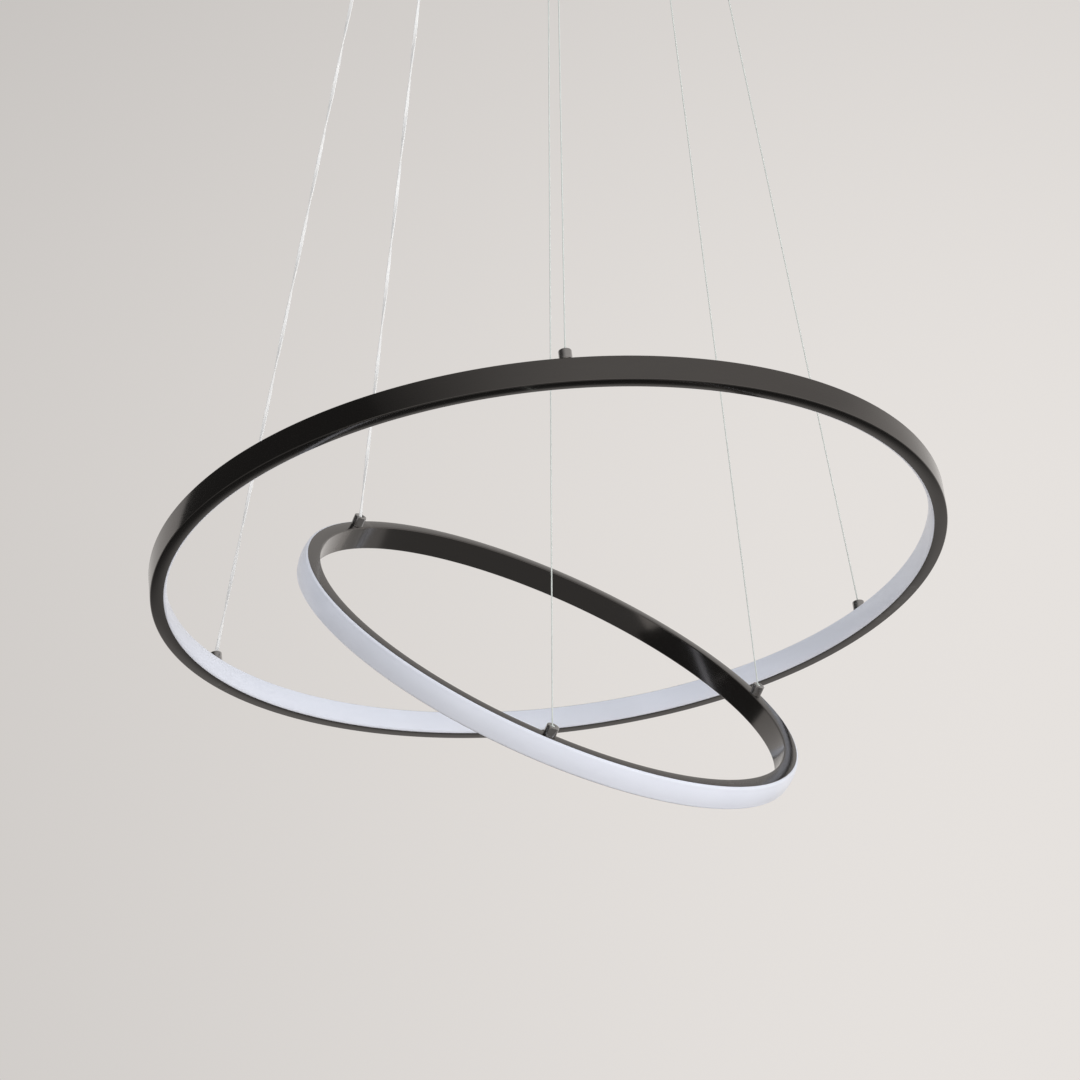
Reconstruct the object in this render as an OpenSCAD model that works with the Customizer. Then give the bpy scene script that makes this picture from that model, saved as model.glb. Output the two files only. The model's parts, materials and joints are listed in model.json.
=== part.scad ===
// Two-ring pendant light. The origin is on the ceiling, at the middle of the canopy's bracket.
// +Z is up, +X is to the right and +Y goes away from the viewer. All lengths are millimetres.

/* [Rings] */
// Outer radius of the large ring
large_r = 300; // [260:5:340]
// Outer radius of the small ring
small_r = 200; // [160:5:215]
// Width of the ring section, along the radius
ring_w = 10; // [10:0.5:12]
// Height of the ring section
ring_h = 19; // [19:0.5:24]
// Wall of the ring channel
ring_wall = 1.2; // [1:0.1:1.4]
// Bevel along the two closed corners of the channel
ring_bevel = 0.6; // [0.2:0.1:0.9]
// Length of the short piece that closes the rolled channel
closing_l = 7; // [6:0.5:9]
// Width of the butt gap at each end of the closing piece
seam_gap = 0.3; // [0.2:0.1:0.6]
// Distance along the ring from the cable grip to the middle of the closing piece
seam_offset = 8; // [8:0.5:12]

/* [Diffuser] */
// How far the diffuser stands out of the channel
diffuser_out = 3; // [3:0.1:4]
// Thickness of the diffuser's face and legs
diffuser_t = 1.3; // [1:0.1:1.6]
// Rounding of the diffuser's two edges
diffuser_edge = 2.4; // [1.6:0.1:2.8]
// How far the diffuser's sides lie inside the ring's top and bottom
diffuser_step = 0.3; // [0.2:0.1:0.6]
// Width of the lips that hold the diffuser, along the radius
lip_w = 1.2; // [1:0.1:1.5]
// How far each lip stands in from its wall
lip_t = 0.6; // [0.4:0.1:0.9]
// Thickness of the diffuser's feet behind the lips
foot_t = 0.9; // [0.6:0.1:1]
// Gap all round the diffuser
diffuser_gap = 0.1; // [0.05:0.05:0.2]

/* [Light strip] */
// Width of the flexible circuit strip
strip_w = 8; // [6:0.5:8]
// Thickness of the circuit strip
strip_t = 0.25; // [0.2:0.05:0.4]
// Thickness of its adhesive, which holds it off the wall
tape_t = 0.1; // [0.05:0.05:0.2]
// Distance between two light chips along the outer radius
chip_pitch = 33.3; // [20:0.1:50]
// Length of a light chip along the ring
chip_l = 3.5; // [2.8:0.1:4]
// Height of a light chip
chip_w = 2.8; // [2:0.1:3.5]
// Thickness of a light chip
chip_t = 0.8; // [0.5:0.1:1]
// Thickness of the solder that holds it off the strip
solder_t = 0.03; // [0.02:0.01:0.08]
// Length of the gap between the strip's two ends
strip_break = 6; // [4:1:10]

/* [Ring joiner] */
// Length of the bar that bridges the closing piece
joiner_l = 50; // [40:5:70]
// Height of the joiner bar
joiner_h = 3.6; // [3:0.1:4]
// Thickness of the joiner bar
joiner_t = 2; // [1.5:0.1:2.2]
// Diameter of its grub screws
grub_d = 2; // [1.6:0.1:2.5]

/* [Hanging] */
// Distance from the ceiling down to the large ring's centre
large_drop = 697.5; // [600:0.5:900]
// Distance from the ceiling down to the small ring's centre
small_drop = 769; // [700:0.5:1000]
// Tilt of the large ring
large_tilt = 27; // [5:0.1:35]
// Tilt of the small ring
small_tilt = 28.8; // [5:0.1:35]
// Direction in which the large ring runs down, from +X
large_tilt_dir = 103.5; // [90:0.5:120]
// Direction in which the small ring runs down, from +X
small_tilt_dir = -33.8; // [-45:0.2:-20]
// How far both rings hang to the right of the canopy's axis
ring_offset = 4; // [-10:1:10]
// Place of the large ring's first grip, from +X
large_grip_angle = 33.7; // [30:0.1:36]
// Place of the small ring's first grip, from +X
small_grip_angle = 32.1; // [30:0.1:36]

/* [Wires] */
// Diameter of the steel wires
wire_d = 1; // [0.8:0.1:1.2]
// Diameter of the ball on the end of a steel wire
ball_d = 4; // [4:0.1:4.2]
// Diameter of the clear power cable
cable_d = 2.8; // [2.4:0.1:2.9]
// Distance from the canopy's edge in to where the large ring's wires leave it
large_anchor_inset = 13; // [11:0.5:20]
// Distance from the canopy's edge in to where the small ring's wires leave it
small_anchor_inset = 48; // [44:0.5:54]
// Place of the large ring's first wire on the canopy, from +X
large_anchor_angle = 33; // [30:0.2:36]
// Place of the small ring's first wire on the canopy, from +X
small_anchor_angle = 31.4; // [29:0.2:34]

/* [Ring grips] */
// Outer diameter of a grip cap
cap_d = 9.4; // [9:0.1:10]
// Height of a grip cap
cap_h = 7.4; // [7:0.1:9]
// Edge rounding of a cap's top, cut as a bevel
cap_bevel = 0.5; // [0.2:0.1:0.8]
// Diameter of the collar that a cap stands on
collar_d = 8.2; // [7.8:0.1:8.8]
// Height of that collar
collar_h = 0.6; // [0.4:0.1:1]
// Diameter of the threaded boss inside a cap
boss_d = 6.6; // [6.2:0.1:7]
// Height of the threaded boss
boss_h = 3; // [2.4:0.1:3]
// Diameter of the stud below the collar
stud_d = 4.4; // [4.2:0.1:4.6]
// Bore through the stud
stud_bore = 3.2; // [3.1:0.1:3.4]
// Width of the stud's nut across its flats
stud_nut_af = 5.4; // [5.2:0.1:5.5]
// Thickness of the stud's nut
stud_nut_h = 2; // [1.5:0.1:2.5]

/* [Canopy] */
// Outer radius of the canopy
canopy_r = 130; // [130:1:150]
// Height of the canopy
canopy_h = 40; // [40:1:60]
// Wall of the canopy
canopy_wall = 1.2; // [0.8:0.1:2]
// Rounding of the canopy's lower edge
canopy_edge = 4; // [3:0.5:5]
// Clearance between the canopy and its bracket
canopy_clear = 0.6; // [0.4:0.1:1]

/* [Bracket] */
// Width of the ceiling bracket
bracket_w = 25; // [22:1:30]
// Thickness of the ceiling bracket
bracket_t = 1.5; // [1:0.1:2]
// Height of its end lugs
lug_h = 20; // [18:1:24]
// Distance between the middles of the two slots
slot_spacing = 90; // [80:1:110]
// Length of each slot
slot_l = 25; // [15:1:30]
// Width of each slot
slot_w = 5; // [4:0.1:6]
// Diameter of the hole for the mains cable
mains_hole_d = 12; // [10:1:14]
// Diameter of the canopy's side screws
side_screw_d = 4; // [3.5:0.5:5]
// Diameter of a side screw's head
side_head_d = 9; // [8:0.5:12]
// Length of a side screw's head
side_head_l = 5; // [4:0.5:7]
// Depth of the side screws below the ceiling
side_screw_drop = 12; // [10:0.5:14]
// Distance of the earth screw from the canopy's axis
earth_x = 20; // [17:0.5:26]
// Diameter of the earth screw
earth_d = 4; // [3:0.5:4]

/* [Wire grippers] */
// Diameter of the threaded sleeve through the canopy's floor
sleeve_d = 8; // [7.6:0.1:9]
// Height of a gripper's sleeve above the floor's underside
sleeve_h = 16; // [12:0.5:18]
// Diameter of a gripper's collar
gripper_collar_d = 12; // [11:0.5:14]
// Height of a gripper's collar
gripper_collar_h = 3; // [2:0.5:4]
// Diameter of a gripper's barrel
barrel_d = 9.6; // [9:0.1:10.5]
// Length of a gripper below the floor, without its plunger
barrel_l = 12; // [11:0.5:14]
// Diameter of a release plunger's nose
plunger_d = 5; // [4.6:0.1:5.2]
// How far a plunger stands out of its barrel
plunger_out = 6; // [5:0.5:8]
// Diameter of a plunger's flange
flange_d = 6.2; // [6:0.1:7]
// Thickness of a plunger's flange
flange_t = 1.5; // [1:0.1:2]
// Bore for the wire
wire_bore = 1.6; // [1.5:0.1:1.8]
// Running clearance of a plunger on the radius
plunger_clear = 0.06; // [0.04:0.01:0.09]
// Diameter of the spring's wire
spring_wire = 0.6; // [0.5:0.05:0.7]
// Width of a sleeve's nut across its flats
sleeve_nut_af = 12; // [11:0.5:13]
// Thickness of a sleeve's nut
sleeve_nut_h = 3.5; // [3:0.5:5]

/* [Cable glands] */
// Diameter of a gland's bore
gland_bore = 3.2; // [3:0.1:3.6]
// Height of a gland's sleeve above the floor's underside
gland_sleeve_h = 10; // [8:0.5:12]
// Diameter of a gland's tip
gland_tip_d = 6; // [5:0.1:7]

/* [Driver] */
// Length of the driver
driver_l = 110; // [100:1:115]
// Width of the driver
driver_w = 42; // [38:1:44]
// Height of the driver with its lid
driver_h = 24; // [22:0.5:26]
// Wall of the driver's case
driver_wall = 1.5; // [1:0.1:2]
// Height of the driver's lid
driver_lid_h = 5; // [4:0.5:6]
// Thickness of the pad under the driver
driver_pad_t = 1; // [0.5:0.1:2]
// Thickness of the circuit board
board_t = 1.6; // [1:0.1:2]
// Height of the posts under the board
board_post_h = 3; // [2:0.5:4]
// Diameter of the leads
lead_d = 2.4; // [2:0.1:2.6]

/* [Terminal block] */
// Length of the terminal block
terminal_l = 30; // [28:1:36]
// Width of the terminal block
terminal_w = 16; // [14:1:18]
// Height of the terminal block
terminal_h = 15; // [12:0.5:16]
// Distance between two terminals
terminal_pitch = 9; // [8:0.5:10]
// Distance of the terminal block from the canopy's axis
terminal_y = 62; // [60:1:70]
// Length of a lead connector
connector_l = 18; // [14:1:22]
// Width of a lead connector
connector_w = 10; // [8:0.5:11]
// Height of a lead connector
connector_h = 8; // [6:0.5:10]

/* [Hidden] */

$fn = 96;
// The step from the right grip to the left one, and on to the near one
grip_step = 120;
// A cut runs past the surface that it starts from by this much
over = 1;
// A free hole is larger than what passes through it by this much on the radius
free = 0.1;
// Threads and screws keep this gap on the radius
thread_gap = 0.05;
// The hole for a plain bolt of diameter d
function hole(d) = d + 2 * free;

// Heights in a ring's own section, from its mid plane
half_h = ring_h / 2;
inside_h = half_h - ring_wall;
// The diffuser's back, measured from the closed wall
diffuser_back = ring_w - lip_w - diffuser_gap - foot_t;
// The face of the light strip, measured from the closed wall
strip_face = ring_wall + tape_t + strip_t;
// The pivot of a wire's ball lies this high above the ring's top
pivot_h = collar_h + cap_h - ball_d / 2;
// The throat of a wire cap leaves room for a wire that leans
throat_r = ball_d * 0.405;
throat_rise = ball_d * 0.325;
// The lower end of a power cable, below the ring's top
cable_end = ring_wall + stud_nut_h + 0.6;

// Heights in the canopy
floor_z = -canopy_h;
floor_top = floor_z + canopy_wall;
mouth_z = floor_z - barrel_l - plunger_out;
sleeve_top = floor_z + sleeve_h;
wire_tail_z = sleeve_top + 12;
// A plunger's flange rests on the lip that closes the barrel
barrel_lip = 1;
chamber_bottom = floor_z - barrel_l + barrel_lip;
chamber_top = floor_z - 1;
spring_gap = 0.05;
spring_turns = 6;
// Where the bracket's lugs end inside the round wall
lug_x = sqrt(pow(canopy_r - canopy_wall, 2) - pow(bracket_w / 2, 2)) - canopy_clear;

// Heights and places in the driver
driver_z = floor_top + driver_pad_t;
driver_top = driver_z + driver_h;
driver_rim = driver_top - driver_lid_h;
board_z = driver_z + driver_wall + board_post_h;
lead_z = driver_z + driver_h / 2;
// How far the lid's rim drops inside the case
lid_rim_h = 3;
// The eye of the earth lead, clamped under the earth screw
eye_d = 2 * earth_d;
eye_t = 2.6;
board_gap = 1;
board_top = board_z + board_t;
// Where the leads cross the driver's ends
output_y = [-8, -14];
input_y = [9, 3];
// The two connectors lie beside the driver, behind one another
connector_gap = 16;
connector_x = [-driver_l / 2 - 20, -driver_l / 2 - 20 - connector_gap];
connector_y = 3;
connector_z = floor_top + connector_h / 2;
terminal_top = floor_top + terminal_h;
terminal_lead_z = floor_top + 5;

// The angle that a length along a circle of radius r spans
function arc(length, r) = 180 * length / (PI * r);

// The point at polar place (r, angle) and height h
function polar(r, angle, h) = [r * cos(angle), r * sin(angle), h];

// A ring's own point p in the room, for a ring that hangs at drop and runs down by tilt towards dir
function hung(p, drop, tilt, dir) =
    let (u = p.x * cos(dir) + p.y * sin(dir))
    let (v = p.y * cos(dir) - p.x * sin(dir))
    let (w = u * cos(tilt) + p.z * sin(tilt))
    [w * cos(dir) - v * sin(dir) + ring_offset, w * sin(dir) + v * cos(dir), p.z * cos(tilt) - u * sin(tilt) - drop];

// Points on the axis of a grip, h above the ring's top
function large_at(angle, h) =
    hung(polar(large_r - ring_w / 2, angle, half_h + h), large_drop, large_tilt, large_tilt_dir);
function small_at(angle, h) =
    hung(polar(small_r - ring_w / 2, angle, half_h + h), small_drop, small_tilt, small_tilt_dir);

// The circles on which the wires and cables leave the canopy
large_anchor_r = canopy_r - large_anchor_inset;
small_anchor_r = canopy_r - small_anchor_inset;
// The places where they leave it, in the order right, left, near
large_anchors = [for (i = [0:2]) polar(large_anchor_r, large_anchor_angle + i * grip_step, mouth_z)];
small_anchors = [for (i = [0:2]) polar(small_anchor_r, small_anchor_angle + i * grip_step, mouth_z)];
large_angles = [for (i = [0:2]) large_grip_angle + i * grip_step];
small_angles = [for (i = [0:2]) small_grip_angle + i * grip_step];
gripper_places = [large_anchors[0], large_anchors[2], small_anchors[0], small_anchors[2]];
gland_places = [large_anchors[1], small_anchors[1]];

// The places of the light chips round a ring, clear of the strip's break
function strip_angles(r) = [arc(strip_break, r) / 2, 360 - arc(strip_break, r) / 2];
function chip_angles(r) =
    let (count = floor((2 * PI * r - strip_break) / chip_pitch))
    [for (i = [0:count - 1]) (i + 0.5) * 360 / count];
function seam_angle(angle, r) = angle - arc(seam_offset, r);

// A power cable's route from its grip to its connector: the grip's axis first, then the gland, then the floor
function cable_route(bottom, bend, anchor, x) = [
    bottom,
    bend,
    anchor,
    [anchor.x, anchor.y, floor_z + gland_sleeve_h + 2],
    [anchor.x * 0.99 + x * 0.01, anchor.y - 2, floor_z + gland_sleeve_h + 5],
    [anchor.x * 0.9 + x * 0.1, anchor.y - 8, floor_z + gland_sleeve_h + 4],
    [anchor.x * 0.2 + x * 0.8, connector_y + connector_l / 2 + 10, connector_z + 4],
    [x, connector_y + connector_l / 2 + 5, connector_z],
    [x, connector_y + connector_l / 2, connector_z]
];
output_routes = [for (i = [0:1]) [
    [-driver_l / 2 + driver_wall + 2, output_y[i], lead_z],
    [-driver_l / 2 - 3, output_y[i], lead_z],
    [connector_x[i] + 8, connector_y - connector_l / 2 - 10 - 4 * i, connector_z + 2],
    [connector_x[i] + 2, connector_y - connector_l / 2 - 9 - 4 * i, connector_z],
    [connector_x[i], connector_y - connector_l / 2 - 5, connector_z],
    [connector_x[i], connector_y - connector_l / 2, connector_z]
]];
input_routes = [for (i = [0:1]) [
    [(i - 1) * terminal_pitch, terminal_y - terminal_w / 2, terminal_lead_z],
    [(i - 1) * terminal_pitch, terminal_y - terminal_w / 2 - 5, terminal_lead_z],
    [14 + 4 * i, terminal_y - terminal_w / 2 - 18 + 4 * i, terminal_lead_z],
    [driver_l / 2 - 5, driver_w / 2 + 8 + 4 * i, terminal_lead_z],
    [driver_l / 2 + 8 + 4 * i, driver_w / 2 - 2, lead_z - 4],
    [driver_l / 2 + 8 + 4 * i, input_y[i] + 5, lead_z],
    [driver_l / 2 + 4, input_y[i], lead_z],
    [driver_l / 2 - driver_wall - 2, input_y[i], lead_z]
]];
earth_route = [
    [terminal_pitch, terminal_y - terminal_w / 2, terminal_lead_z],
    [terminal_pitch, terminal_y - terminal_w / 2 - 5, terminal_lead_z],
    [terminal_pitch + 1, driver_w / 2 + 12, driver_top - 4],
    [(terminal_pitch + earth_x) / 2, driver_w / 2 + 2, driver_top + 4],
    [earth_x, bracket_w / 2 + 2, -bracket_t - 4],
    [earth_x, eye_d / 2 + 4, -bracket_t - eye_t / 2],
    [earth_x, eye_d / 2, -bracket_t - eye_t / 2]
];

// A tube swept along a route, as one solid. The direction across is never along the route.
module tube(route, d, across, sides = 8) {
    last = len(route) - 1;
    steps = [for (i = [0:last - 1]) (route[i + 1] - route[i]) / norm(route[i + 1] - route[i])];
    ways = [for (i = [0:last]) i == 0 ? steps[0] : i == last ? steps[last - 1] : steps[i - 1] + steps[i]];
    points = [
        for (i = [0:last])
            let (t = ways[i] / norm(ways[i]))
            let (x = cross(across, t) / norm(cross(across, t)))
            let (y = cross(t, x))
            for (k = [0:sides - 1])
                route[i] + d / 2 * (x * cos(k * 360 / sides) + y * sin(k * 360 / sides))
    ];
    walls = [
        for (i = [0:last - 1], k = [0:sides - 1])
            let (a = i * sides + k)
            let (b = i * sides + (k + 1) % sides)
            each [[a, a + sides, b + sides], [a, b + sides, b]]
    ];
    foot = [for (k = [0:sides - 1]) k];
    head = [for (k = [sides - 1:-1:0]) last * sides + k];
    polyhedron(points, concat([foot], walls, [head]));
}

// A prism with six sides, by its width across the flats
module hex(af, h) {
    cylinder(d = af / cos(30), h = h, $fn = 6);
}

// A ring hangs at its drop, its tilt and its direction
module hang_large() {
    translate([ring_offset, 0, -large_drop]) rotate([0, 0, large_tilt_dir]) rotate([0, large_tilt, 0])
        rotate([0, 0, -large_tilt_dir]) children();
}
module hang_small() {
    translate([ring_offset, 0, -small_drop]) rotate([0, 0, small_tilt_dir]) rotate([0, small_tilt, 0])
        rotate([0, 0, -small_tilt_dir]) children();
}

// Turns a section into a ring. A section starts at the closed wall; inward puts that wall outside.
module turned(r, inward, sweep = 360) {
    rotate_extrude(angle = sweep, $fn = 180)
        translate([inward ? r : r - ring_w, 0]) mirror([inward ? 1 : 0, 0]) children();
}

// Puts children at a grip, with the ring's top at zero and +X out of the ring
module at_grip(r, angle) {
    rotate([0, 0, angle]) translate([r - ring_w / 2, 0, half_h]) children();
}

// Puts children on the closed wall at an angle, with +Z towards the diffuser
module on_wall(r, inward, angle) {
    rotate([0, 0, angle]) translate([inward ? r : r - ring_w, 0, 0]) rotate([0, inward ? -90 : 90, 0]) children();
}

// The U of the channel, with its lips at the open side
module channel_section() {
    polygon([
        [0, ring_bevel - half_h], [ring_bevel, -half_h], [ring_w, -half_h],
        [ring_w, lip_t - inside_h], [ring_w - lip_w, lip_t - inside_h], [ring_w - lip_w, -inside_h],
        [ring_wall, -inside_h], [ring_wall, inside_h], [ring_w - lip_w, inside_h],
        [ring_w - lip_w, inside_h - lip_t], [ring_w, inside_h - lip_t], [ring_w, half_h],
        [ring_bevel, half_h], [0, half_h - ring_bevel]
    ]);
}

module channel(r, inward, angles) {
    span = arc(closing_l + 2 * seam_gap, r);
    difference() {
        rotate([0, 0, seam_angle(angles[1], r) + span / 2]) turned(r, inward, 360 - span) channel_section();
        for (a = angles)
            at_grip(r, a) translate([0, 0, -ring_wall - over]) cylinder(d = hole(stud_d), h = ring_wall + 2 * over);
    }
}

// The short piece between the two ends of the rolled channel
module closing_piece(r, inward, seam) {
    span = arc(closing_l, r);
    rotate([0, 0, seam - span / 2]) turned(r, inward, span) channel_section();
}

// The diffuser's head covers the channel's two edges, and its two legs catch behind the lips
module diffuser(r, inward) {
    head = ring_w + diffuser_gap;
    face = ring_w + diffuser_out;
    reach = half_h - diffuser_step;
    leg = inside_h - lip_t - diffuser_gap;
    turned(r, inward) difference() {
        union() {
            translate([diffuser_back, diffuser_gap - inside_h])
                square([foot_t, 2 * (inside_h - diffuser_gap)]);
            translate([diffuser_back, -leg]) square([face - diffuser_edge - diffuser_back, 2 * leg]);
            translate([head, -reach]) square([face - diffuser_edge - head, 2 * reach]);
            translate([head, diffuser_edge - reach]) square([face - head, 2 * (reach - diffuser_edge)]);
            intersection() {
                translate([head, -reach]) square([face - head, 2 * reach]);
                for (s = [-1, 1])
                    translate([face - diffuser_edge, s * (reach - diffuser_edge)]) circle(r = diffuser_edge);
            }
        }
        translate([diffuser_back - over, diffuser_t - leg])
            square([face - diffuser_t - diffuser_back + over, 2 * (leg - diffuser_t)]);
    }
}

module led_strip(r, inward, start) {
    ends = strip_angles(r);
    rotate([0, 0, start + ends[0]]) turned(r, inward, ends[1] - ends[0])
        translate([ring_wall + tape_t, -strip_w / 2]) square([strip_t, strip_w]);
}

module led_chips(r, inward, start) {
    for (a = chip_angles(r))
        on_wall(r, inward, start + a) translate([-chip_w / 2, -chip_l / 2, strip_face + solder_t])
            cube([chip_w, chip_l, chip_t]);
}

// The joiner's screws lie in pairs on both sides of the closing piece
joiner_screws = [for (s = [-1, 1], k = [0.3, 0.7]) s * k * joiner_l / 2];
joiner_mid = -inside_h + joiner_h / 2;

// The place of a joiner screw on the closed wall
module at_joiner_screw(r, inward, seam, along) {
    on_wall(r, inward, seam + arc(along, r)) translate([inward ? joiner_mid : -joiner_mid, 0, ring_wall])
        children();
}

module joiner_bar(r, inward, seam) {
    span = arc(joiner_l, r);
    difference() {
        rotate([0, 0, seam - span / 2]) turned(r, inward, span)
            translate([ring_wall, -inside_h]) square([joiner_t, joiner_h]);
        for (along = joiner_screws)
            at_joiner_screw(r, inward, seam, along) translate([0, 0, -over])
                cylinder(d = grub_d + 2 * thread_gap, h = joiner_t + 2 * over);
    }
}

module joiner_grubs(r, inward, seam) {
    socket_d = grub_d * 0.45;
    for (along = joiner_screws)
        at_joiner_screw(r, inward, seam, along) difference() {
            translate([0, 0, thread_gap]) cylinder(d = grub_d, h = joiner_t - thread_gap);
            translate([0, 0, joiner_t / 2]) hex(socket_d, joiner_t);
        }
}

// A cap for a wire holds its ball; a cap for a cable is bored for the cable
module grip_cap(for_cable) {
    base = collar_h;
    top = collar_h + cap_h;
    boss_top = collar_h + boss_h + 0.2;
    bore = boss_d / 2 + thread_gap;
    seat = ball_d / 2 * 1.125;
    throat = pivot_h + throat_rise;
    inner = for_cable
        ? [[cable_d / 2 + 2 * free, boss_top], [cable_d / 2 + 3 * free, top - 1.9], [cable_d, top]]
        : [[seat, boss_top], [seat, pivot_h], [throat_r, throat], [throat_r + (top - throat) * 0.9, top]];
    rotate_extrude() polygon(concat(
        [[cap_d / 2, base], [bore, base], [bore, boss_top]],
        inner,
        [[cap_d / 2 - cap_bevel, top], [cap_d / 2, top - cap_bevel]]
    ));
}

module grip_stud() {
    difference() {
        union() {
            translate([0, 0, -cable_end + 0.2]) cylinder(d = stud_d, h = cable_end - 0.2 + collar_h / 2);
            cylinder(d = collar_d, h = collar_h);
            cylinder(d = boss_d, h = collar_h + boss_h);
        }
        translate([0, 0, -cable_end - over]) cylinder(d = stud_bore, h = cable_end + collar_h + boss_h + 2 * over);
    }
}

// The stud's nut lies under the ring's upper wall, with its flats towards the strip and the diffuser
module grip_nut() {
    translate([0, 0, -ring_wall - stud_nut_h]) difference() {
        rotate([0, 0, 30]) hex(stud_nut_af, stud_nut_h);
        translate([0, 0, -over]) cylinder(d = stud_d + 2 * thread_gap, h = stud_nut_h + 2 * over);
    }
}

// The caps of a ring: the one in the middle takes the cable
module grip_caps(r, angles) {
    for (i = [0:2])
        at_grip(r, angles[i]) grip_cap(i == 1);
}
module grip_studs(r, angles) {
    for (a = angles)
        at_grip(r, a) grip_stud();
}
module grip_nuts(r, angles) {
    for (a = angles)
        at_grip(r, a) grip_nut();
}

// Two short leads join the cable's end to the strip
module strip_leads(r, inward, angle) {
    way = inward ? 1 : -1;
    d = 0.9;
    reach = ring_w / 2 - strip_face - d / 2 - 0.05;
    for (side = [-1, 1])
        at_grip(r, angle) tube([
            [0, side * 0.7, -cable_end - 0.05],
            [0, side * 0.8, -cable_end - 0.8],
            [way * reach * 0.6, side * 1.4, -cable_end - 1.8],
            [way * reach, side * 2, -cable_end - 2.6],
            [way * reach, side * 2.2, -cable_end - 3.6]
        ], d, [0, 1, 0]);
}

module large_channel() color([0.2, 0.19, 0.18]) hang_large() channel(large_r, true, large_angles);
module large_closing_piece() color([0.2, 0.19, 0.18]) hang_large() closing_piece(large_r, true, large_seam);
module large_diffuser() color([0.86, 0.87, 0.92]) hang_large() diffuser(large_r, true);
module large_led_strip() color([0.93, 0.92, 0.88]) hang_large() led_strip(large_r, true, large_seam);
module large_led_chips() color([0.95, 0.85, 0.3]) hang_large() led_chips(large_r, true, large_seam);
module large_joiner_bar() color([0.7, 0.71, 0.73]) hang_large() joiner_bar(large_r, true, large_seam);
module large_joiner_screws() color([0.25, 0.25, 0.26]) hang_large() joiner_grubs(large_r, true, large_seam);
module large_grip_caps() color([0.3, 0.29, 0.28]) hang_large() grip_caps(large_r, large_angles);
module large_grip_studs() color([0.5, 0.5, 0.5]) hang_large() grip_studs(large_r, large_angles);
module large_grip_nuts() color([0.72, 0.72, 0.74]) hang_large() grip_nuts(large_r, large_angles);
module large_strip_leads() color([0.85, 0.86, 0.88]) hang_large() strip_leads(large_r, true, large_angles[1]);

module small_channel() color([0.2, 0.19, 0.18]) hang_small() channel(small_r, false, small_angles);
module small_closing_piece() color([0.2, 0.19, 0.18]) hang_small() closing_piece(small_r, false, small_seam);
module small_diffuser() color([0.86, 0.87, 0.92]) hang_small() diffuser(small_r, false);
module small_led_strip() color([0.93, 0.92, 0.88]) hang_small() led_strip(small_r, false, small_seam);
module small_led_chips() color([0.95, 0.85, 0.3]) hang_small() led_chips(small_r, false, small_seam);
module small_joiner_bar() color([0.7, 0.71, 0.73]) hang_small() joiner_bar(small_r, false, small_seam);
module small_joiner_screws() color([0.25, 0.25, 0.26]) hang_small() joiner_grubs(small_r, false, small_seam);
module small_grip_caps() color([0.3, 0.29, 0.28]) hang_small() grip_caps(small_r, small_angles);
module small_grip_studs() color([0.5, 0.5, 0.5]) hang_small() grip_studs(small_r, small_angles);
module small_grip_nuts() color([0.72, 0.72, 0.74]) hang_small() grip_nuts(small_r, small_angles);
module small_strip_leads() color([0.85, 0.86, 0.88]) hang_small() strip_leads(small_r, false, small_angles[1]);

large_seam = seam_angle(large_angles[1], large_r);
small_seam = seam_angle(small_angles[1], small_r);

// A steel wire runs up from its ball to the gripper's mouth and ends above the sleeve
module steel_wire(ball, anchor) {
    color([0.75, 0.75, 0.76]) union() {
        tube([ball, anchor, [anchor.x, anchor.y, wire_tail_z]], wire_d, [0, 1, 0]);
        translate(ball) sphere(d = ball_d, $fn = 32);
    }
}
module large_wire_right() steel_wire(large_at(large_angles[0], pivot_h), large_anchors[0]);
module large_wire_near() steel_wire(large_at(large_angles[2], pivot_h), large_anchors[2]);
module small_wire_right() steel_wire(small_at(small_angles[0], pivot_h), small_anchors[0]);
module small_wire_near() steel_wire(small_at(small_angles[2], pivot_h), small_anchors[2]);

// A power cable bends just below its cap's top
cable_bend = collar_h + cap_h - 1.2;
module large_cable() {
    color([0.85, 0.87, 0.88]) tube(cable_route(large_at(large_angles[1], -cable_end),
        large_at(large_angles[1], cable_bend), large_anchors[1], connector_x[1]), cable_d, [1, 0, 0]);
}
module small_cable() {
    color([0.85, 0.87, 0.88]) tube(cable_route(small_at(small_angles[1], -cable_end),
        small_at(small_angles[1], cable_bend), small_anchors[1], connector_x[0]), cable_d, [1, 0, 0]);
}

// The canopy's outline, turned round its axis
module canopy_body(r, h, edge) {
    rotate_extrude($fn = 180) {
        square([r - edge, h]);
        translate([0, edge]) square([r, h - edge]);
        translate([r - edge, edge]) circle(r = edge);
    }
}

module canopy_shell() {
    color([0.12, 0.12, 0.12]) difference() {
        translate([0, 0, floor_z]) canopy_body(canopy_r, canopy_h, canopy_edge);
        translate([0, 0, floor_top]) canopy_body(canopy_r - canopy_wall, canopy_h, canopy_edge - canopy_wall);
        for (p = concat(gripper_places, gland_places))
            translate([p.x, p.y, floor_z - over]) cylinder(d = hole(sleeve_d), h = canopy_wall + 2 * over);
        for (s = [-1, 1])
            translate([s * canopy_r, 0, -side_screw_drop]) rotate([0, 90, 0])
                cylinder(d = side_screw_d + 4 * free, h = 4 * canopy_wall, center = true);
    }
}

module bracket_slot(x) {
    translate([x, 0, -bracket_t - over]) {
        for (s = [-1, 1])
            translate([s * (slot_l - slot_w) / 2, 0, 0]) cylinder(d = slot_w, h = bracket_t + 2 * over);
        translate([-(slot_l - slot_w) / 2, -slot_w / 2, 0]) cube([slot_l - slot_w, slot_w, bracket_t + 2 * over]);
    }
}

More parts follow.
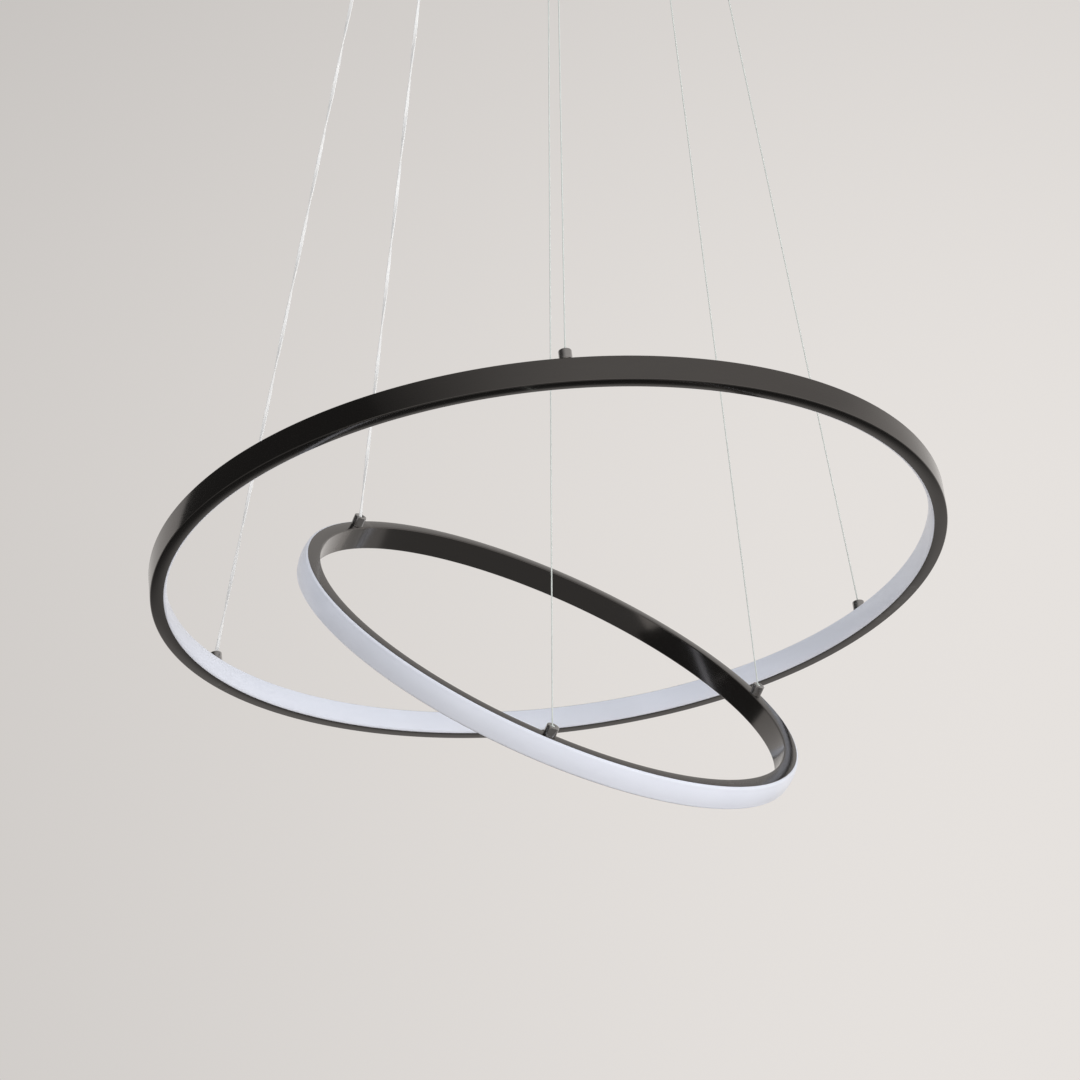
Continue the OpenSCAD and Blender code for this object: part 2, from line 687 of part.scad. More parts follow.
module ceiling_bracket() {
    color([0.75, 0.76, 0.78]) difference() {
        union() {
            translate([-lug_x, -bracket_w / 2, -bracket_t]) cube([2 * lug_x, bracket_w, bracket_t]);
            for (s = [-1, 1])
                translate([s * (lug_x - bracket_t / 2) - bracket_t / 2, -bracket_w / 2, -lug_h])
                    cube([bracket_t, bracket_w, lug_h]);
        }
        for (s = [-1, 1]) {
            bracket_slot(s * slot_spacing / 2);
            translate([s * (lug_x - bracket_t / 2), 0, -side_screw_drop]) rotate([0, 90, 0])
                cylinder(d = side_screw_d + 2 * thread_gap, h = 3 * bracket_t, center = true);
        }
        translate([0, 0, -bracket_t - over]) cylinder(d = mains_hole_d, h = bracket_t + 2 * over);
        translate([earth_x, 0, -bracket_t - over]) cylinder(d = earth_d + 2 * thread_gap, h = bracket_t + 2 * over);
    }
}

module canopy_side_screws() {
    shank = canopy_r - lug_x + bracket_t + 2;
    for (s = [-1, 1])
        color([0.15, 0.15, 0.15]) translate([s * canopy_r, 0, -side_screw_drop]) rotate([0, s * 90, 0]) {
            translate([0, 0, -shank]) cylinder(d = side_screw_d, h = shank + side_head_l / 2);
            rotate_extrude() polygon([
                [0, 0], [side_head_d / 2 - 0.5, 0], [side_head_d / 2, 0.5],
                [side_head_d / 2, side_head_l - 0.8], [side_head_d / 2 - 0.8, side_head_l], [0, side_head_l]
            ]);
        }
}

// The earth screw with its washer and the eye of the earth lead under its head
module earth_screw() {
    head_h = 2.4;
    color([0.85, 0.7, 0.25]) translate([earth_x, 0, -bracket_t]) {
        translate([0, 0, -eye_t]) cylinder(d = earth_d, h = eye_t + bracket_t);
        translate([0, 0, -eye_t]) cylinder(d = eye_d, h = eye_t);
        translate([0, 0, -eye_t - head_h]) difference() {
            cylinder(d = earth_d * 1.8, h = head_h);
            translate([-earth_d, -0.5, -over]) cube([2 * earth_d, 1, over + 1]);
        }
    }
}

// A gripper's fixed body. The plunger's lip is at its bottom and its sleeve passes the floor.
module gripper_body() {
    translate([0, 0, floor_z]) difference() {
        union() {
            translate([0, 0, -barrel_l]) cylinder(d = barrel_d, h = barrel_l);
            translate([0, 0, -gripper_collar_h]) cylinder(d = gripper_collar_d, h = gripper_collar_h);
            cylinder(d = sleeve_d, h = sleeve_h);
        }
        translate([0, 0, -barrel_l - over]) cylinder(d = plunger_d + 2 * plunger_clear, h = barrel_lip + 2 * over);
        translate([0, 0, chamber_bottom - floor_z])
            cylinder(d = flange_d + 2 * plunger_clear, h = chamber_top - chamber_bottom);
        translate([0, 0, -barrel_l]) cylinder(d = wire_bore, h = barrel_l + sleeve_h + over);
    }
}

// A nut on a sleeve, lying on the canopy's floor
module sleeve_nut() {
    translate([0, 0, floor_top]) difference() {
        hex(sleeve_nut_af, sleeve_nut_h);
        translate([0, 0, -over]) cylinder(d = sleeve_d + 2 * thread_gap, h = sleeve_nut_h + 2 * over);
    }
}

// Moves children to one of the places, keeping their heights
module at_place(p) {
    translate([p.x, p.y, 0]) children();
}

module gripper_bodies() {
    for (p = gripper_places)
        color([0.55, 0.55, 0.56]) at_place(p) gripper_body();
}
module gripper_nuts() {
    for (p = gripper_places)
        color([0.75, 0.75, 0.77]) at_place(p) sleeve_nut();
}

// A release plunger: pushed up, it frees the wire
module plunger(p) {
    flange_z = chamber_bottom + spring_gap;
    color([0.7, 0.7, 0.72]) at_place(p) difference() {
        union() {
            translate([0, 0, mouth_z + 1]) cylinder(d = plunger_d, h = flange_z - mouth_z);
            translate([0, 0, mouth_z]) cylinder(d1 = plunger_d - 1.4, d2 = plunger_d, h = 1);
            translate([0, 0, flange_z]) cylinder(d = flange_d, h = flange_t);
        }
        translate([0, 0, mouth_z - over]) cylinder(d = wire_bore, h = barrel_l + plunger_out + 2 * over);
    }
}

// A gripper's spring between the plunger's flange and the top of the chamber
module gripper_spring(p) {
    from = chamber_bottom + spring_gap + flange_t + spring_gap;
    rise = chamber_top - spring_gap - from - spring_wire;
    turn_r = flange_d / 2 - spring_wire / 2 - 0.3;
    steps = 8;
    route = [
        for (i = [0:spring_turns * steps])
            polar(turn_r, i * 360 / steps, from + spring_wire / 2 + rise * i / (spring_turns * steps))
    ];
    color([0.8, 0.8, 0.82]) at_place(p) tube(route, spring_wire, [0, 0, 1], 6);
}

module gland() {
    nose = barrel_l + plunger_out;
    translate([0, 0, floor_z]) difference() {
        union() {
            translate([0, 0, -gripper_collar_h]) cylinder(d = gripper_collar_d, h = gripper_collar_h);
            translate([0, 0, -nose + plunger_out]) cylinder(d = barrel_d, h = nose - plunger_out);
            translate([0, 0, -nose]) cylinder(d1 = gland_tip_d, d2 = barrel_d, h = plunger_out);
            cylinder(d = sleeve_d, h = gland_sleeve_h);
        }
        translate([0, 0, -nose - over]) cylinder(d = gland_bore, h = nose + gland_sleeve_h + 2 * over);
        translate([0, 0, -nose - 0.01]) cylinder(d1 = gland_bore + 1.2, d2 = gland_bore, h = 1.2);
    }
}
module cable_glands() {
    for (p = gland_places)
        color([0.5, 0.5, 0.51]) at_place(p) gland();
}
module gland_nuts() {
    for (p = gland_places)
        color([0.75, 0.75, 0.77]) at_place(p) sleeve_nut();
}

// A plain box centred on the driver's axis, from height z upwards
module driver_box(l, w, z, h) {
    translate([-l / 2, -w / 2, z]) cube([l, w, h]);
}

module driver_pad() {
    color([0.9, 0.9, 0.9]) driver_box(driver_l - 10, driver_w - 12, floor_top, driver_pad_t);
}

module driver_case() {
    inner_l = driver_l - 2 * driver_wall;
    inner_w = driver_w - 2 * driver_wall;
    color([0.92, 0.92, 0.9]) difference() {
        driver_box(driver_l, driver_w, driver_z, driver_rim - driver_z);
        difference() {
            driver_box(inner_l, inner_w, driver_z + driver_wall, driver_h);
            for (sx = [-1, 1], sy = [-1, 1])
                translate([sx * (inner_l / 2 - 6), sy * (inner_w / 2 - 6), driver_z])
                    cylinder(d = 5, h = board_z - driver_z);
        }
        for (y = output_y)
            translate([-driver_l / 2, y, lead_z]) rotate([0, 90, 0])
                cylinder(d = hole(lead_d), h = 3 * driver_wall, center = true);
        for (y = input_y)
            translate([driver_l / 2, y, lead_z]) rotate([0, 90, 0])
                cylinder(d = hole(lead_d), h = 3 * driver_wall, center = true);
    }
}

// The lid closes the case, with a rim that drops inside it
module driver_lid() {
    rim_l = driver_l - 2 * driver_wall - 2 * free;
    rim_w = driver_w - 2 * driver_wall - 2 * free;
    color([0.9, 0.9, 0.88]) difference() {
        union() {
            driver_box(driver_l, driver_w, driver_rim, driver_lid_h);
            driver_box(rim_l, rim_w, driver_rim - lid_rim_h, lid_rim_h + 1);
        }
        driver_box(rim_l - 2 * driver_wall, rim_w - 2 * driver_wall, driver_rim - lid_rim_h - over,
            lid_rim_h + over + driver_lid_h - driver_wall);
    }
}

module driver_board() {
    color([0.15, 0.45, 0.25])
        driver_box(driver_l - 2 * driver_wall - 2 * board_gap, driver_w - 2 * driver_wall - 2 * board_gap, board_z, board_t);
}

// Transformer, capacitors, choke, fuse and heat sink, standing on the board
module driver_components() {
    tall = driver_rim - lid_rim_h - board_top - 0.5;
    far = driver_l / 2 - 25;
    side = driver_w / 2 - 13;
    color([0.85, 0.7, 0.15]) translate([-6, -side - 3, board_top]) cube([20, 2 * side + 6, tall]);
    color([0.12, 0.12, 0.2]) translate([far, -side, board_top]) cylinder(d = 10, h = tall);
    color([0.12, 0.12, 0.2]) translate([-far, side, board_top]) cylinder(d = 8, h = tall - 1);
    color([0.6, 0.35, 0.15]) translate([far - 2, side, board_top]) cylinder(d = 9, h = tall / 2);
    color([0.2, 0.5, 0.7]) translate([far - 10, -3, board_top]) cube([4, 8, tall - 3]);
    color([0.7, 0.7, 0.72]) translate([-far + 6, -side - 7, board_top]) cube([14, 3, tall - 1]);
}

// The block with its wire holes from both sides and a well over each screw
module terminal_block() {
    color([0.93, 0.93, 0.9]) difference() {
        translate([-terminal_l / 2, terminal_y - terminal_w / 2, floor_top])
            cube([terminal_l, terminal_w, terminal_h]);
        for (i = [-1:1]) {
            translate([i * terminal_pitch, terminal_y, terminal_top - 5]) cylinder(d = 5.4, h = 5 + over);
            translate([i * terminal_pitch, terminal_y + terminal_w / 2 + over, terminal_lead_z]) rotate([90, 0, 0])
                cylinder(d = 3.6, h = terminal_w / 2);
        }
    }
}
module terminal_screws() {
    for (i = [-1:1])
        color([0.8, 0.8, 0.8]) translate([i * terminal_pitch, terminal_y, terminal_top - 5]) difference() {
            cylinder(d = 5.2, h = 3);
            translate([-3, -0.5, 2]) cube([6, 1, 2]);
        }
}

module lead_connectors() {
    for (x = connector_x)
        color([0.95, 0.95, 0.93]) translate([x - connector_w / 2, connector_y - connector_l / 2, floor_top])
            cube([connector_w, connector_l, connector_h]);
}

module input_leads() {
    color([0.35, 0.25, 0.18]) tube(input_routes[0], lead_d, [0, 0, 1]);
    color([0.2, 0.35, 0.65]) tube(input_routes[1], lead_d, [0, 0, 1]);
}
module earth_lead() {
    color([0.45, 0.65, 0.25]) tube(earth_route, lead_d, [1, 0, 0]);
}
module output_leads() {
    for (route = output_routes)
        color([0.9, 0.9, 0.9]) tube(route, lead_d, [0, 0, 1]);
}

ceiling_bracket();
earth_screw();
canopy_shell();
canopy_side_screws();
driver_pad();
driver_case();
driver_lid();
driver_board();
driver_components();
terminal_block();
terminal_screws();
lead_connectors();
input_leads();
earth_lead();
output_leads();
gripper_bodies();
gripper_nuts();
plunger(large_anchors[0]);  // large_right_plunger
plunger(large_anchors[2]);  // large_near_plunger
plunger(small_anchors[0]);  // small_right_plunger
plunger(small_anchors[2]);  // small_near_plunger
gripper_spring(large_anchors[0]);  // large_right_spring
gripper_spring(large_anchors[2]);  // large_near_spring
gripper_spring(small_anchors[0]);  // small_right_spring
gripper_spring(small_anchors[2]);  // small_near_spring
cable_glands();
gland_nuts();
large_wire_right();
large_wire_near();
large_cable();
small_wire_right();
small_wire_near();
small_cable();
large_channel();
large_closing_piece();
large_diffuser();
large_led_strip();
large_led_chips();
large_joiner_bar();
large_joiner_screws();
large_grip_caps();
large_grip_studs();
large_grip_nuts();
large_strip_leads();
small_channel();
small_closing_piece();
small_diffuser();
small_led_strip();
small_led_chips();
small_joiner_bar();
small_joiner_screws();
small_grip_caps();
small_grip_studs();
small_grip_nuts();
small_strip_leads();
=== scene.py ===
"""Dresses the two-ring pendant light on its fixed frame: rings, grips, wires, cables, canopy and studio."""

import json
import logging
import math
from dataclasses import dataclass, field
from enum import Enum
from typing import Callable, Optional, Sequence, Union

import bmesh
import bpy
from mathutils import Matrix, Vector

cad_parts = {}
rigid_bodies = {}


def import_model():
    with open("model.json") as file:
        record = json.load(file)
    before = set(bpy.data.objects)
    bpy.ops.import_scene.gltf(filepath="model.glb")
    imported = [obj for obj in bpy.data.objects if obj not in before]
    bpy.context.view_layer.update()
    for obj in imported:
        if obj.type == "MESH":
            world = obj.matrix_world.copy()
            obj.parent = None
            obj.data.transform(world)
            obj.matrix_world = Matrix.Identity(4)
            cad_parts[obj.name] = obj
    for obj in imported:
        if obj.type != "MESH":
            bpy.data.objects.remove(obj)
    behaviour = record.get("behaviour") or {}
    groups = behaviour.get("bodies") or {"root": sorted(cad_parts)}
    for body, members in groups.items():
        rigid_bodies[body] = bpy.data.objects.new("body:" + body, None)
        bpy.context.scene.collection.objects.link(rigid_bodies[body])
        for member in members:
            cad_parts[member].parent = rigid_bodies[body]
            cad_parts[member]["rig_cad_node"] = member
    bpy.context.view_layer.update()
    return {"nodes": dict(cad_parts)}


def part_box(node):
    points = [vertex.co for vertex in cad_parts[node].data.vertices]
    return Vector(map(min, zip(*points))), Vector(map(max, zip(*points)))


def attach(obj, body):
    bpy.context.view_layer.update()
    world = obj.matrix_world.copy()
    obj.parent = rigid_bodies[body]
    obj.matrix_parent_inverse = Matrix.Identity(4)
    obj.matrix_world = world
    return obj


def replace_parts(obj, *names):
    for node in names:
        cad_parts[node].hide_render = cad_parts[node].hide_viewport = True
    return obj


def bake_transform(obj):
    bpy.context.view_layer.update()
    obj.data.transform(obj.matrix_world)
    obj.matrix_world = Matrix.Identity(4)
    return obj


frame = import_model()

LOG = logging.getLogger("pendant")
MM = 0.001
# Edges steeper than this many degrees stay sharp
SHARP = 35.0
# The largest share of an edge that a rounded corner takes, and the same for a bend in a route
CORNER_SHARE = 0.48
BEND_SHARE = 0.45
# A direction that no route starts along, from which a section's first side is found
FIRST_SIDE = (0.31, 0.95, 0.05)
# The picture map: the free share beside a row, the height of all rows, the place and size of the end faces
ROW_GAP = 0.04
ROWS_TOP = 0.96
END_HEIGHT = 0.98
END_RADIUS = 0.01
BALL_ACROSS = 0.15
# How far over a ring's top its cable bends
CABLE_BEND = 0.0068

# Where the grippers and glands take their lines, in millimetres across the canopy
MOUTH_Z = -58.0
GRIPPERS = {"large_right": (98.12, 63.72), "large_near": (6.12, -116.84), "small_right": (69.99, 42.72),
            "small_near": (2.00, -81.98)}
GLANDS = {"large": (-104.25, 53.12), "small": (-71.99, 39.25)}

Colour = tuple[float, float, float]
Outline = list[tuple[float, float]]
Socket = Union[bpy.types.NodeSocket, float, Colour]


# Shapes


def rounded(corners: Sequence[tuple[float, float, float]], steps: int = 4) -> Outline:
    """Rounds the corners of a closed outline.

    Args:
        corners: each corner as (x, y, length that the rounding takes from its edges).
        steps: pieces in each rounding.

    Returns:
        The outline's points.
    """
    out: Outline = []
    for i, (x, y, cut) in enumerate(corners):
        tip = Vector((x, y))
        if cut <= 0:
            out.append((x, y))
            continue
        back = Vector(corners[i - 1][:2]) - tip
        ahead = Vector(corners[(i + 1) % len(corners)][:2]) - tip
        cut = min(cut, back.length * CORNER_SHARE, ahead.length * CORNER_SHARE)
        a, b = tip + back.normalized() * cut, tip + ahead.normalized() * cut
        for k in range(steps + 1):
            t = k / steps
            p = a * (1 - t) ** 2 + tip * 2 * t * (1 - t) + b * t * t
            out.append((p.x, p.y))
    return out


def eased(points: Sequence[Vector], bend: float, steps: int = 6) -> list[Vector]:
    """Rounds the corners of a route, as a lead or wire bends.

    Args:
        points: the route's corners.
        bend: the length that a bend takes from each side of its corner.
        steps: pieces in each bend.

    Returns:
        The route with its bends.
    """
    out = [Vector(points[0])]
    for before, tip, after in zip(points, points[1:], points[2:]):
        back, ahead = before - tip, after - tip
        cut = min(bend, back.length * BEND_SHARE, ahead.length * BEND_SHARE)
        a, b = tip + back.normalized() * cut, tip + ahead.normalized() * cut
        out.extend(a.lerp(tip, k / steps).lerp(tip.lerp(b, k / steps), k / steps) for k in range(steps + 1))
    out.append(Vector(points[-1]))
    return out


def length_of(path: Sequence[Vector]) -> float:
    """Returns the length of a path of points."""
    return sum((b - a).length for a, b in zip(path, path[1:]))


def spaced(path: Sequence[Vector], spacing: float) -> list[Vector]:
    """Cuts the long stretches of a path into short ones, keeping its own points.

    Args:
        path: the points.
        spacing: the longest stretch that is left.

    Returns:
        The path with more points.
    """
    out = [Vector(path[0])]
    for a, b in zip(path, path[1:]):
        cuts = max(1, math.ceil((b - a).length / spacing))
        out.extend(a.lerp(b, (k + 1) / cuts) for k in range(cuts))
    return out


def remember(mesh: bpy.types.Mesh, place: Optional[Matrix]) -> None:
    """Stores each point's place in the piece's own frame, for the patterns.

    Args:
        mesh: a mesh that already stands in the room.
        place: the frame that it was made in.
    """
    back = place.inverted() if place is not None else Matrix()
    old = mesh.attributes.get("own_place")
    if old is not None:
        mesh.attributes.remove(old)
    marks = mesh.attributes.new("own_place", "FLOAT_VECTOR", "POINT")
    marks.data.foreach_set("vector", [c for v in mesh.vertices for c in back @ v.co])


def settled(bm: bmesh.types.BMesh, name: str, place: Optional[Matrix] = None,
            sharp: float = SHARP) -> bpy.types.Object:
    """Turns a finished bmesh into an object with smooth faces.

    Args:
        bm: the mesh, which is freed here.
        name: the object's name.
        place: the frame that it was made in.
        sharp: edges steeper than this many degrees stay sharp.

    Returns:
        The object.
    """
    bmesh.ops.recalc_face_normals(bm, faces=bm.faces)
    mesh = bpy.data.meshes.new(name)
    bm.to_mesh(mesh)
    bm.free()
    if place is not None:
        mesh.transform(place)
    remember(mesh, place)
    mesh.shade_smooth()
    mesh.set_sharp_from_angle(angle=math.radians(sharp))
    obj = bpy.data.objects.new(name, mesh)
    bpy.context.scene.collection.objects.link(obj)
    return obj


def skin(bm: bmesh.types.BMesh, rings: Sequence[Sequence[bmesh.types.BMVert]], closed: bool,
         rows: int) -> None:
    """Joins rings of points into a tube, with a picture map laid out in rows.

    Args:
        bm: the mesh that holds the points.
        rings: the cross sections in order.
        closed: whether the last section joins the first.
        rows: how many rows of the map the tube is cut into.
    """
    uv = bm.loops.layers.uv.get("OFBake") or bm.loops.layers.uv.new("OFBake")
    around = len(rings[0])
    edges = [(rings[0][k].co - rings[0][(k + 1) % around].co).length for k in range(around)]
    marks = [sum(edges[:k]) / sum(edges) for k in range(around + 1)]
    count = len(rings) if closed else len(rings) - 1
    for i in range(count):
        a, b = rings[i], rings[(i + 1) % len(rings)]
        row = i * rows // count
        u0, u1 = i * rows / count - row, (i + 1) * rows / count - row
        for k in range(around):
            j = (k + 1) % around
            face = bm.faces.new((a[k], b[k], b[j], a[j]))
            low, high = ((row + ROW_GAP + (1 - 2 * ROW_GAP) * marks[k + s]) / rows * ROWS_TOP for s in (0, 1))
            for loop, place in zip(face.loops, ((u0, low), (u1, low), (u1, high), (u0, high))):
                loop[uv].uv = place
    if not closed:
        for n, end in enumerate((rings[0], list(reversed(rings[-1])))):
            face = bm.faces.new(end)
            for k, loop in enumerate(face.loops):
                turn = 2 * math.pi * k / around
                loop[uv].uv = ((2 + 4 * n + math.cos(turn)) * END_RADIUS,
                               END_HEIGHT + math.sin(turn) * END_RADIUS)


def turned(name: str, outline: Outline, steps: int, place: Optional[Matrix] = None, start: float = 0.0,
           sweep: float = 360.0, rows: int = 1, sharp: float = SHARP) -> bpy.types.Object:
    """Turns a closed outline round the Z axis.

    Args:
        name: the object's name.
        outline: points as (radius, height).
        steps: pieces round the turn.
        place: the object's matrix.
        start: the angle where the turn starts, in degrees.
        sweep: the angle turned through.
        rows: rows of the picture map.
        sharp: edges steeper than this many degrees stay sharp.

    Returns:
        The object.
    """
    closed = sweep > 359.99
    bm = bmesh.new()
    rings = []
    for i in range(steps if closed else steps + 1):
        a = math.radians(start + sweep * i / steps)
        rings.append([bm.verts.new((r * math.cos(a), r * math.sin(a), z)) for r, z in outline])
    skin(bm, rings, closed, rows)
    return settled(bm, name, place, sharp)


def drawn(name: str, path: Sequence[Vector], section: Callable[[float], Outline], rows: int = 1,
          ball: float = 0.0, sharp: float = 60) -> bpy.types.Object:
    """Draws a cross section along a path without twisting its frame.

    Args:
        name: the object's name.
        path: the points.
        section: gives the section's points for a distance along the path.
        rows: rows of the picture map.
        ball: the diameter of a ball on the first point, or zero.
        sharp: edges steeper than this many degrees stay sharp.

    Returns:
        The object.
    """
    bm = bmesh.new()
    rings, run = [], 0.0
    way = (path[1] - path[0]).normalized()
    side = way.cross(Vector(FIRST_SIDE)).normalized()
    for i, p in enumerate(path):
        ahead = (path[min(i + 1, len(path) - 1)] - path[max(i - 1, 0)]).normalized()
        side = (way.rotation_difference(ahead) @ side).normalized()
        way = ahead
        up = way.cross(side)
        if i:
            run += (p - path[i - 1]).length
        rings.append([bm.verts.new(p + side * x + up * y) for x, y in section(run)])
    skin(bm, rings, False, rows)
    if ball:
        made = bmesh.ops.create_icosphere(bm, subdivisions=3, radius=ball / 2,
                                          matrix=Matrix.Translation(path[0]))
        uv = bm.loops.layers.uv["OFBake"]
        for face in {f for v in made["verts"] for f in v.link_faces}:
            for loop in face.loops:
                away = (loop.vert.co - path[0]) / ball
                loop[uv].uv = (BALL_ACROSS + away.x * 2 * END_RADIUS, END_HEIGHT + away.y * 2 * END_RADIUS)
    return settled(bm, name, None, sharp)


def disc(diameter: float, sides: int = 12) -> Callable[[float], Outline]:
    """Gives the section of a plain round tube.

    Args:
        diameter: over the tube.
        sides: points round the section.

    Returns:
        A function of the distance along the tube.
    """
    turns = [2 * math.pi * k / sides for k in range(sides)]
    ring = [(diameter / 2 * math.cos(a), diameter / 2 * math.sin(a)) for a in turns]
    return lambda run: ring


def strand(diameter: float, lay: float, lobes: int = 6, sides: int = 24,
           groove: float = 0.025) -> Callable[[float], Outline]:
    """Gives the section of a stranded wire, whose outer strands turn as it goes.

    Args:
        diameter: over the strands.
        lay: the length of one full turn.
        lobes: how many outer strands there are.
        sides: points round the section.
        groove: the depth between two strands, as a share of the radius.

    Returns:
        A function of the distance along the wire.
    """
    def at(run: float) -> Outline:
        """Works out the section at one place.

        Args:
            run: the distance along the wire.

        Returns:
            The section's points.
        """
        turn = 2 * math.pi * run / lay
        out: Outline = []
        for k in range(sides):
            a = 2 * math.pi * k / sides
            r = diameter / 2 * (1 - groove + groove * abs(math.cos(lobes * (a - turn) / 2)))
            out.append((r * math.cos(a), r * math.sin(a)))
        return out
    return at


def twin(width: float, pitch: float, phase: float, sides: int = 20, waist: float = 0.72,
         steep: float = 2.2) -> Callable[[float], Outline]:
    """Gives the section of a flat two-core cable that turns slowly as it goes.

    Args:
        width: over both cores.
        pitch: the length of one full turn.
        phase: its angle at the start, in degrees.
        sides: points round the section.
        waist: the share of its thickness that is left between the cores.
        steep: how fast the waist widens towards the cores.

    Returns:
        A function of the distance along the cable.
    """
    def at(run: float) -> Outline:
        """Works out the section at one place.

        Args:
            run: the distance along the cable.

        Returns:
            The section's points.
        """
        turn = math.radians(phase) + 2 * math.pi * run / pitch
        c, s = math.cos(turn), math.sin(turn)
        out: Outline = []
        for k in range(sides):
            a = 2 * math.pi * (k + 0.5) / sides
            centre = width / 4 * (1 if math.cos(a) > 0 else -1)
            x, y = centre + width / 4 * math.cos(a), width / 4 * math.sin(a)
            pinch = waist + (1 - waist) * min(1.0, abs(math.cos(a)) * steep)
            out.append((x * c - y * pinch * s, x * s + y * pinch * c))
        return out
    return at


# Shaders


class Tree:
    """Places and joins the nodes of one material, group or world."""

    def __init__(self, tree: bpy.types.NodeTree) -> None:
        """Takes an empty node tree."""
        self.tree = tree

    def put(self, socket: bpy.types.NodeSocket, value: Socket) -> None:
        """Links a socket to another, or sets its plain value.

        Args:
            socket: the socket that takes it.
            value: the other socket, a number or a colour.
        """
        if isinstance(value, bpy.types.NodeSocket):
            self.tree.links.new(value, socket)
        elif isinstance(value, (int, float)):
            socket.default_value = value
        else:
            socket.default_value = (*value, 1.0)[:len(socket.default_value)]

    def add(self, kind: str, inputs: Optional[dict] = None, **settings: object) -> bpy.types.Node:
        """Adds a node.

        Args:
            kind: its type's name.
            inputs: values or sockets by input name or number.
            **settings: its other settings.

        Returns:
            The node.
        """
        node = self.tree.nodes.new(kind)
        for key, value in settings.items():
            setattr(node, key, value)
        for key, value in (inputs or {}).items():
            self.put(node.inputs[key], value)
        return node

    def math(self, kind: str, a: Socket, b: Socket = 0.0, c: Socket = 0.0,
             clamp: bool = False) -> bpy.types.NodeSocket:
        """Returns the result of a Math node."""
        return self.add("ShaderNodeMath", {0: a, 1: b, 2: c}, operation=kind, use_clamp=clamp).outputs[0]

    def span(self, value: Socket, low: float, high: float, to_low: float, to_high: float,
             kind: str = "SMOOTHSTEP") -> bpy.types.NodeSocket:
        """Moves a value from one range to another and clamps it.

        Args:
            value: the value.
            low: where the change starts.
            high: where it ends.
            to_low: what it gives up to the start.
            to_high: what it gives from the end on.
            kind: the way between them.

        Returns:
            The moved value.
        """
        node = self.add("ShaderNodeMapRange", {0: value, 1: low, 2: high, 3: to_low, 4: to_high},
                        interpolation_type=kind)
        return node.outputs[0]

    def mix(self, share: Socket, a: Socket, b: Socket, blend: str = "MIX") -> bpy.types.NodeSocket:
        """Returns a mix of two colours."""
        node = self.add("ShaderNodeMix", {0: share, 6: a, 7: b}, data_type="RGBA", blend_type=blend)
        return node.outputs[2]

    def place(self, kind: str = "Object") -> bpy.types.NodeSocket:
        """Returns the coordinates of a fixed solid or a stage piece."""
        return self.add("ShaderNodeTexCoord").outputs[kind]

    def own_place(self) -> bpy.types.NodeSocket:
        """Returns the coordinates in the frame that a built piece was made in."""
        return self.add("ShaderNodeAttribute", attribute_name="own_place").outputs["Vector"]

    def noise(self, vector: Socket, scale: float = 1.0, detail: float = 2.0, w: Optional[Socket] = None,
              rough: float = 0.5) -> bpy.types.NodeSocket:
        """Adds a noise between 0 and 1.

        Args:
            vector: where it is read.
            scale: how fine it is.
            detail: how many finer layers it has.
            w: a fourth coordinate, where there is one.
            rough: the strength of the finer layers.

        Returns:
            The noise's value.
        """
        values = {"Vector": vector, "Scale": scale, "Detail": detail, "Roughness": rough}
        if w is not None:
            values["W"] = w
        return self.add("ShaderNodeTexNoise", values, noise_dimensions="3D" if w is None else "4D").outputs[0]

    def group(self, tree: bpy.types.NodeTree, **inputs: Socket) -> bpy.types.Node:
        """Adds a node group with its values.

        Args:
            tree: the group.
            inputs: its inputs by name, with low lines for spaces.

        Returns:
            The group's node.
        """
        node = self.add("ShaderNodeGroup", node_tree=tree)
        for key, value in inputs.items():
            self.put(node.inputs[key.replace("_", " ")], value)
        return node


def effect(name: str, inputs: dict[str, float], outputs: Sequence[str],
           build: Callable[[Tree, dict[str, bpy.types.NodeSocket]], dict[str, Socket]]) -> bpy.types.NodeTree:
    """Makes a shader node group with named sockets.

    Args:
        name: the group's name.
        inputs: its inputs with their usual values, besides the place that every effect takes.
        outputs: the names of its outputs, all plain values.
        build: places the nodes and gives a socket for each output.

    Returns:
        The group.
    """
    tree = bpy.data.node_groups.new(name, "ShaderNodeTree")
    tree.interface.new_socket(name="Place", in_out="INPUT", socket_type="NodeSocketVector")
    for label, value in inputs.items():
        socket = tree.interface.new_socket(name=label, in_out="INPUT", socket_type="NodeSocketFloat")
        socket.default_value = value
    for label in outputs:
        tree.interface.new_socket(name=label, in_out="OUTPUT", socket_type="NodeSocketFloat")
    t = Tree(tree)
    source, sink = t.add("NodeGroupInput"), t.add("NodeGroupOutput")
    for label, value in build(t, {label: source.outputs[label] for label in ("Place", *inputs)}).items():
        t.put(sink.inputs[label], value)
    return tree


def build_tool_lines(t: Tree, i: dict[str, bpy.types.NodeSocket]) -> dict[str, Socket]:
    """Draws fine lines that run round the Z axis, as rolling and turning leave them.

    Args:
        t: the group's nodes.
        i: the group's inputs by name.

    Returns:
        The lines' shade and height.
    """
    x, y, z = t.add("ShaderNodeSeparateXYZ", {0: i["Place"]}).outputs
    angle = t.math("ARCTAN2", y, x)
    radius = t.math("SQRT", t.math("ADD", t.math("MULTIPLY", x, x), t.math("MULTIPLY", y, y)))
    along_x = t.math("MULTIPLY", t.math("COSINE", angle), i["Breaks"])
    along_y = t.math("MULTIPLY", t.math("SINE", angle), i["Breaks"])
    up = t.math("MULTIPLY", z, i["Fineness"])
    across = t.math("MULTIPLY", t.math("MULTIPLY", radius, i["Fineness"]), i["Across"])
    vector = t.add("ShaderNodeCombineXYZ", {0: along_x, 1: along_y, 2: up}).outputs[0]
    fine = t.noise(vector, 1.0, 3.0, across, 0.6)
    broad = t.noise(vector, 0.13, 1.0, across)
    shade = t.math("ADD", t.math("MULTIPLY", fine, 0.7), t.math("MULTIPLY", broad, 0.3))
    return {"Shade": shade, "Height": fine}


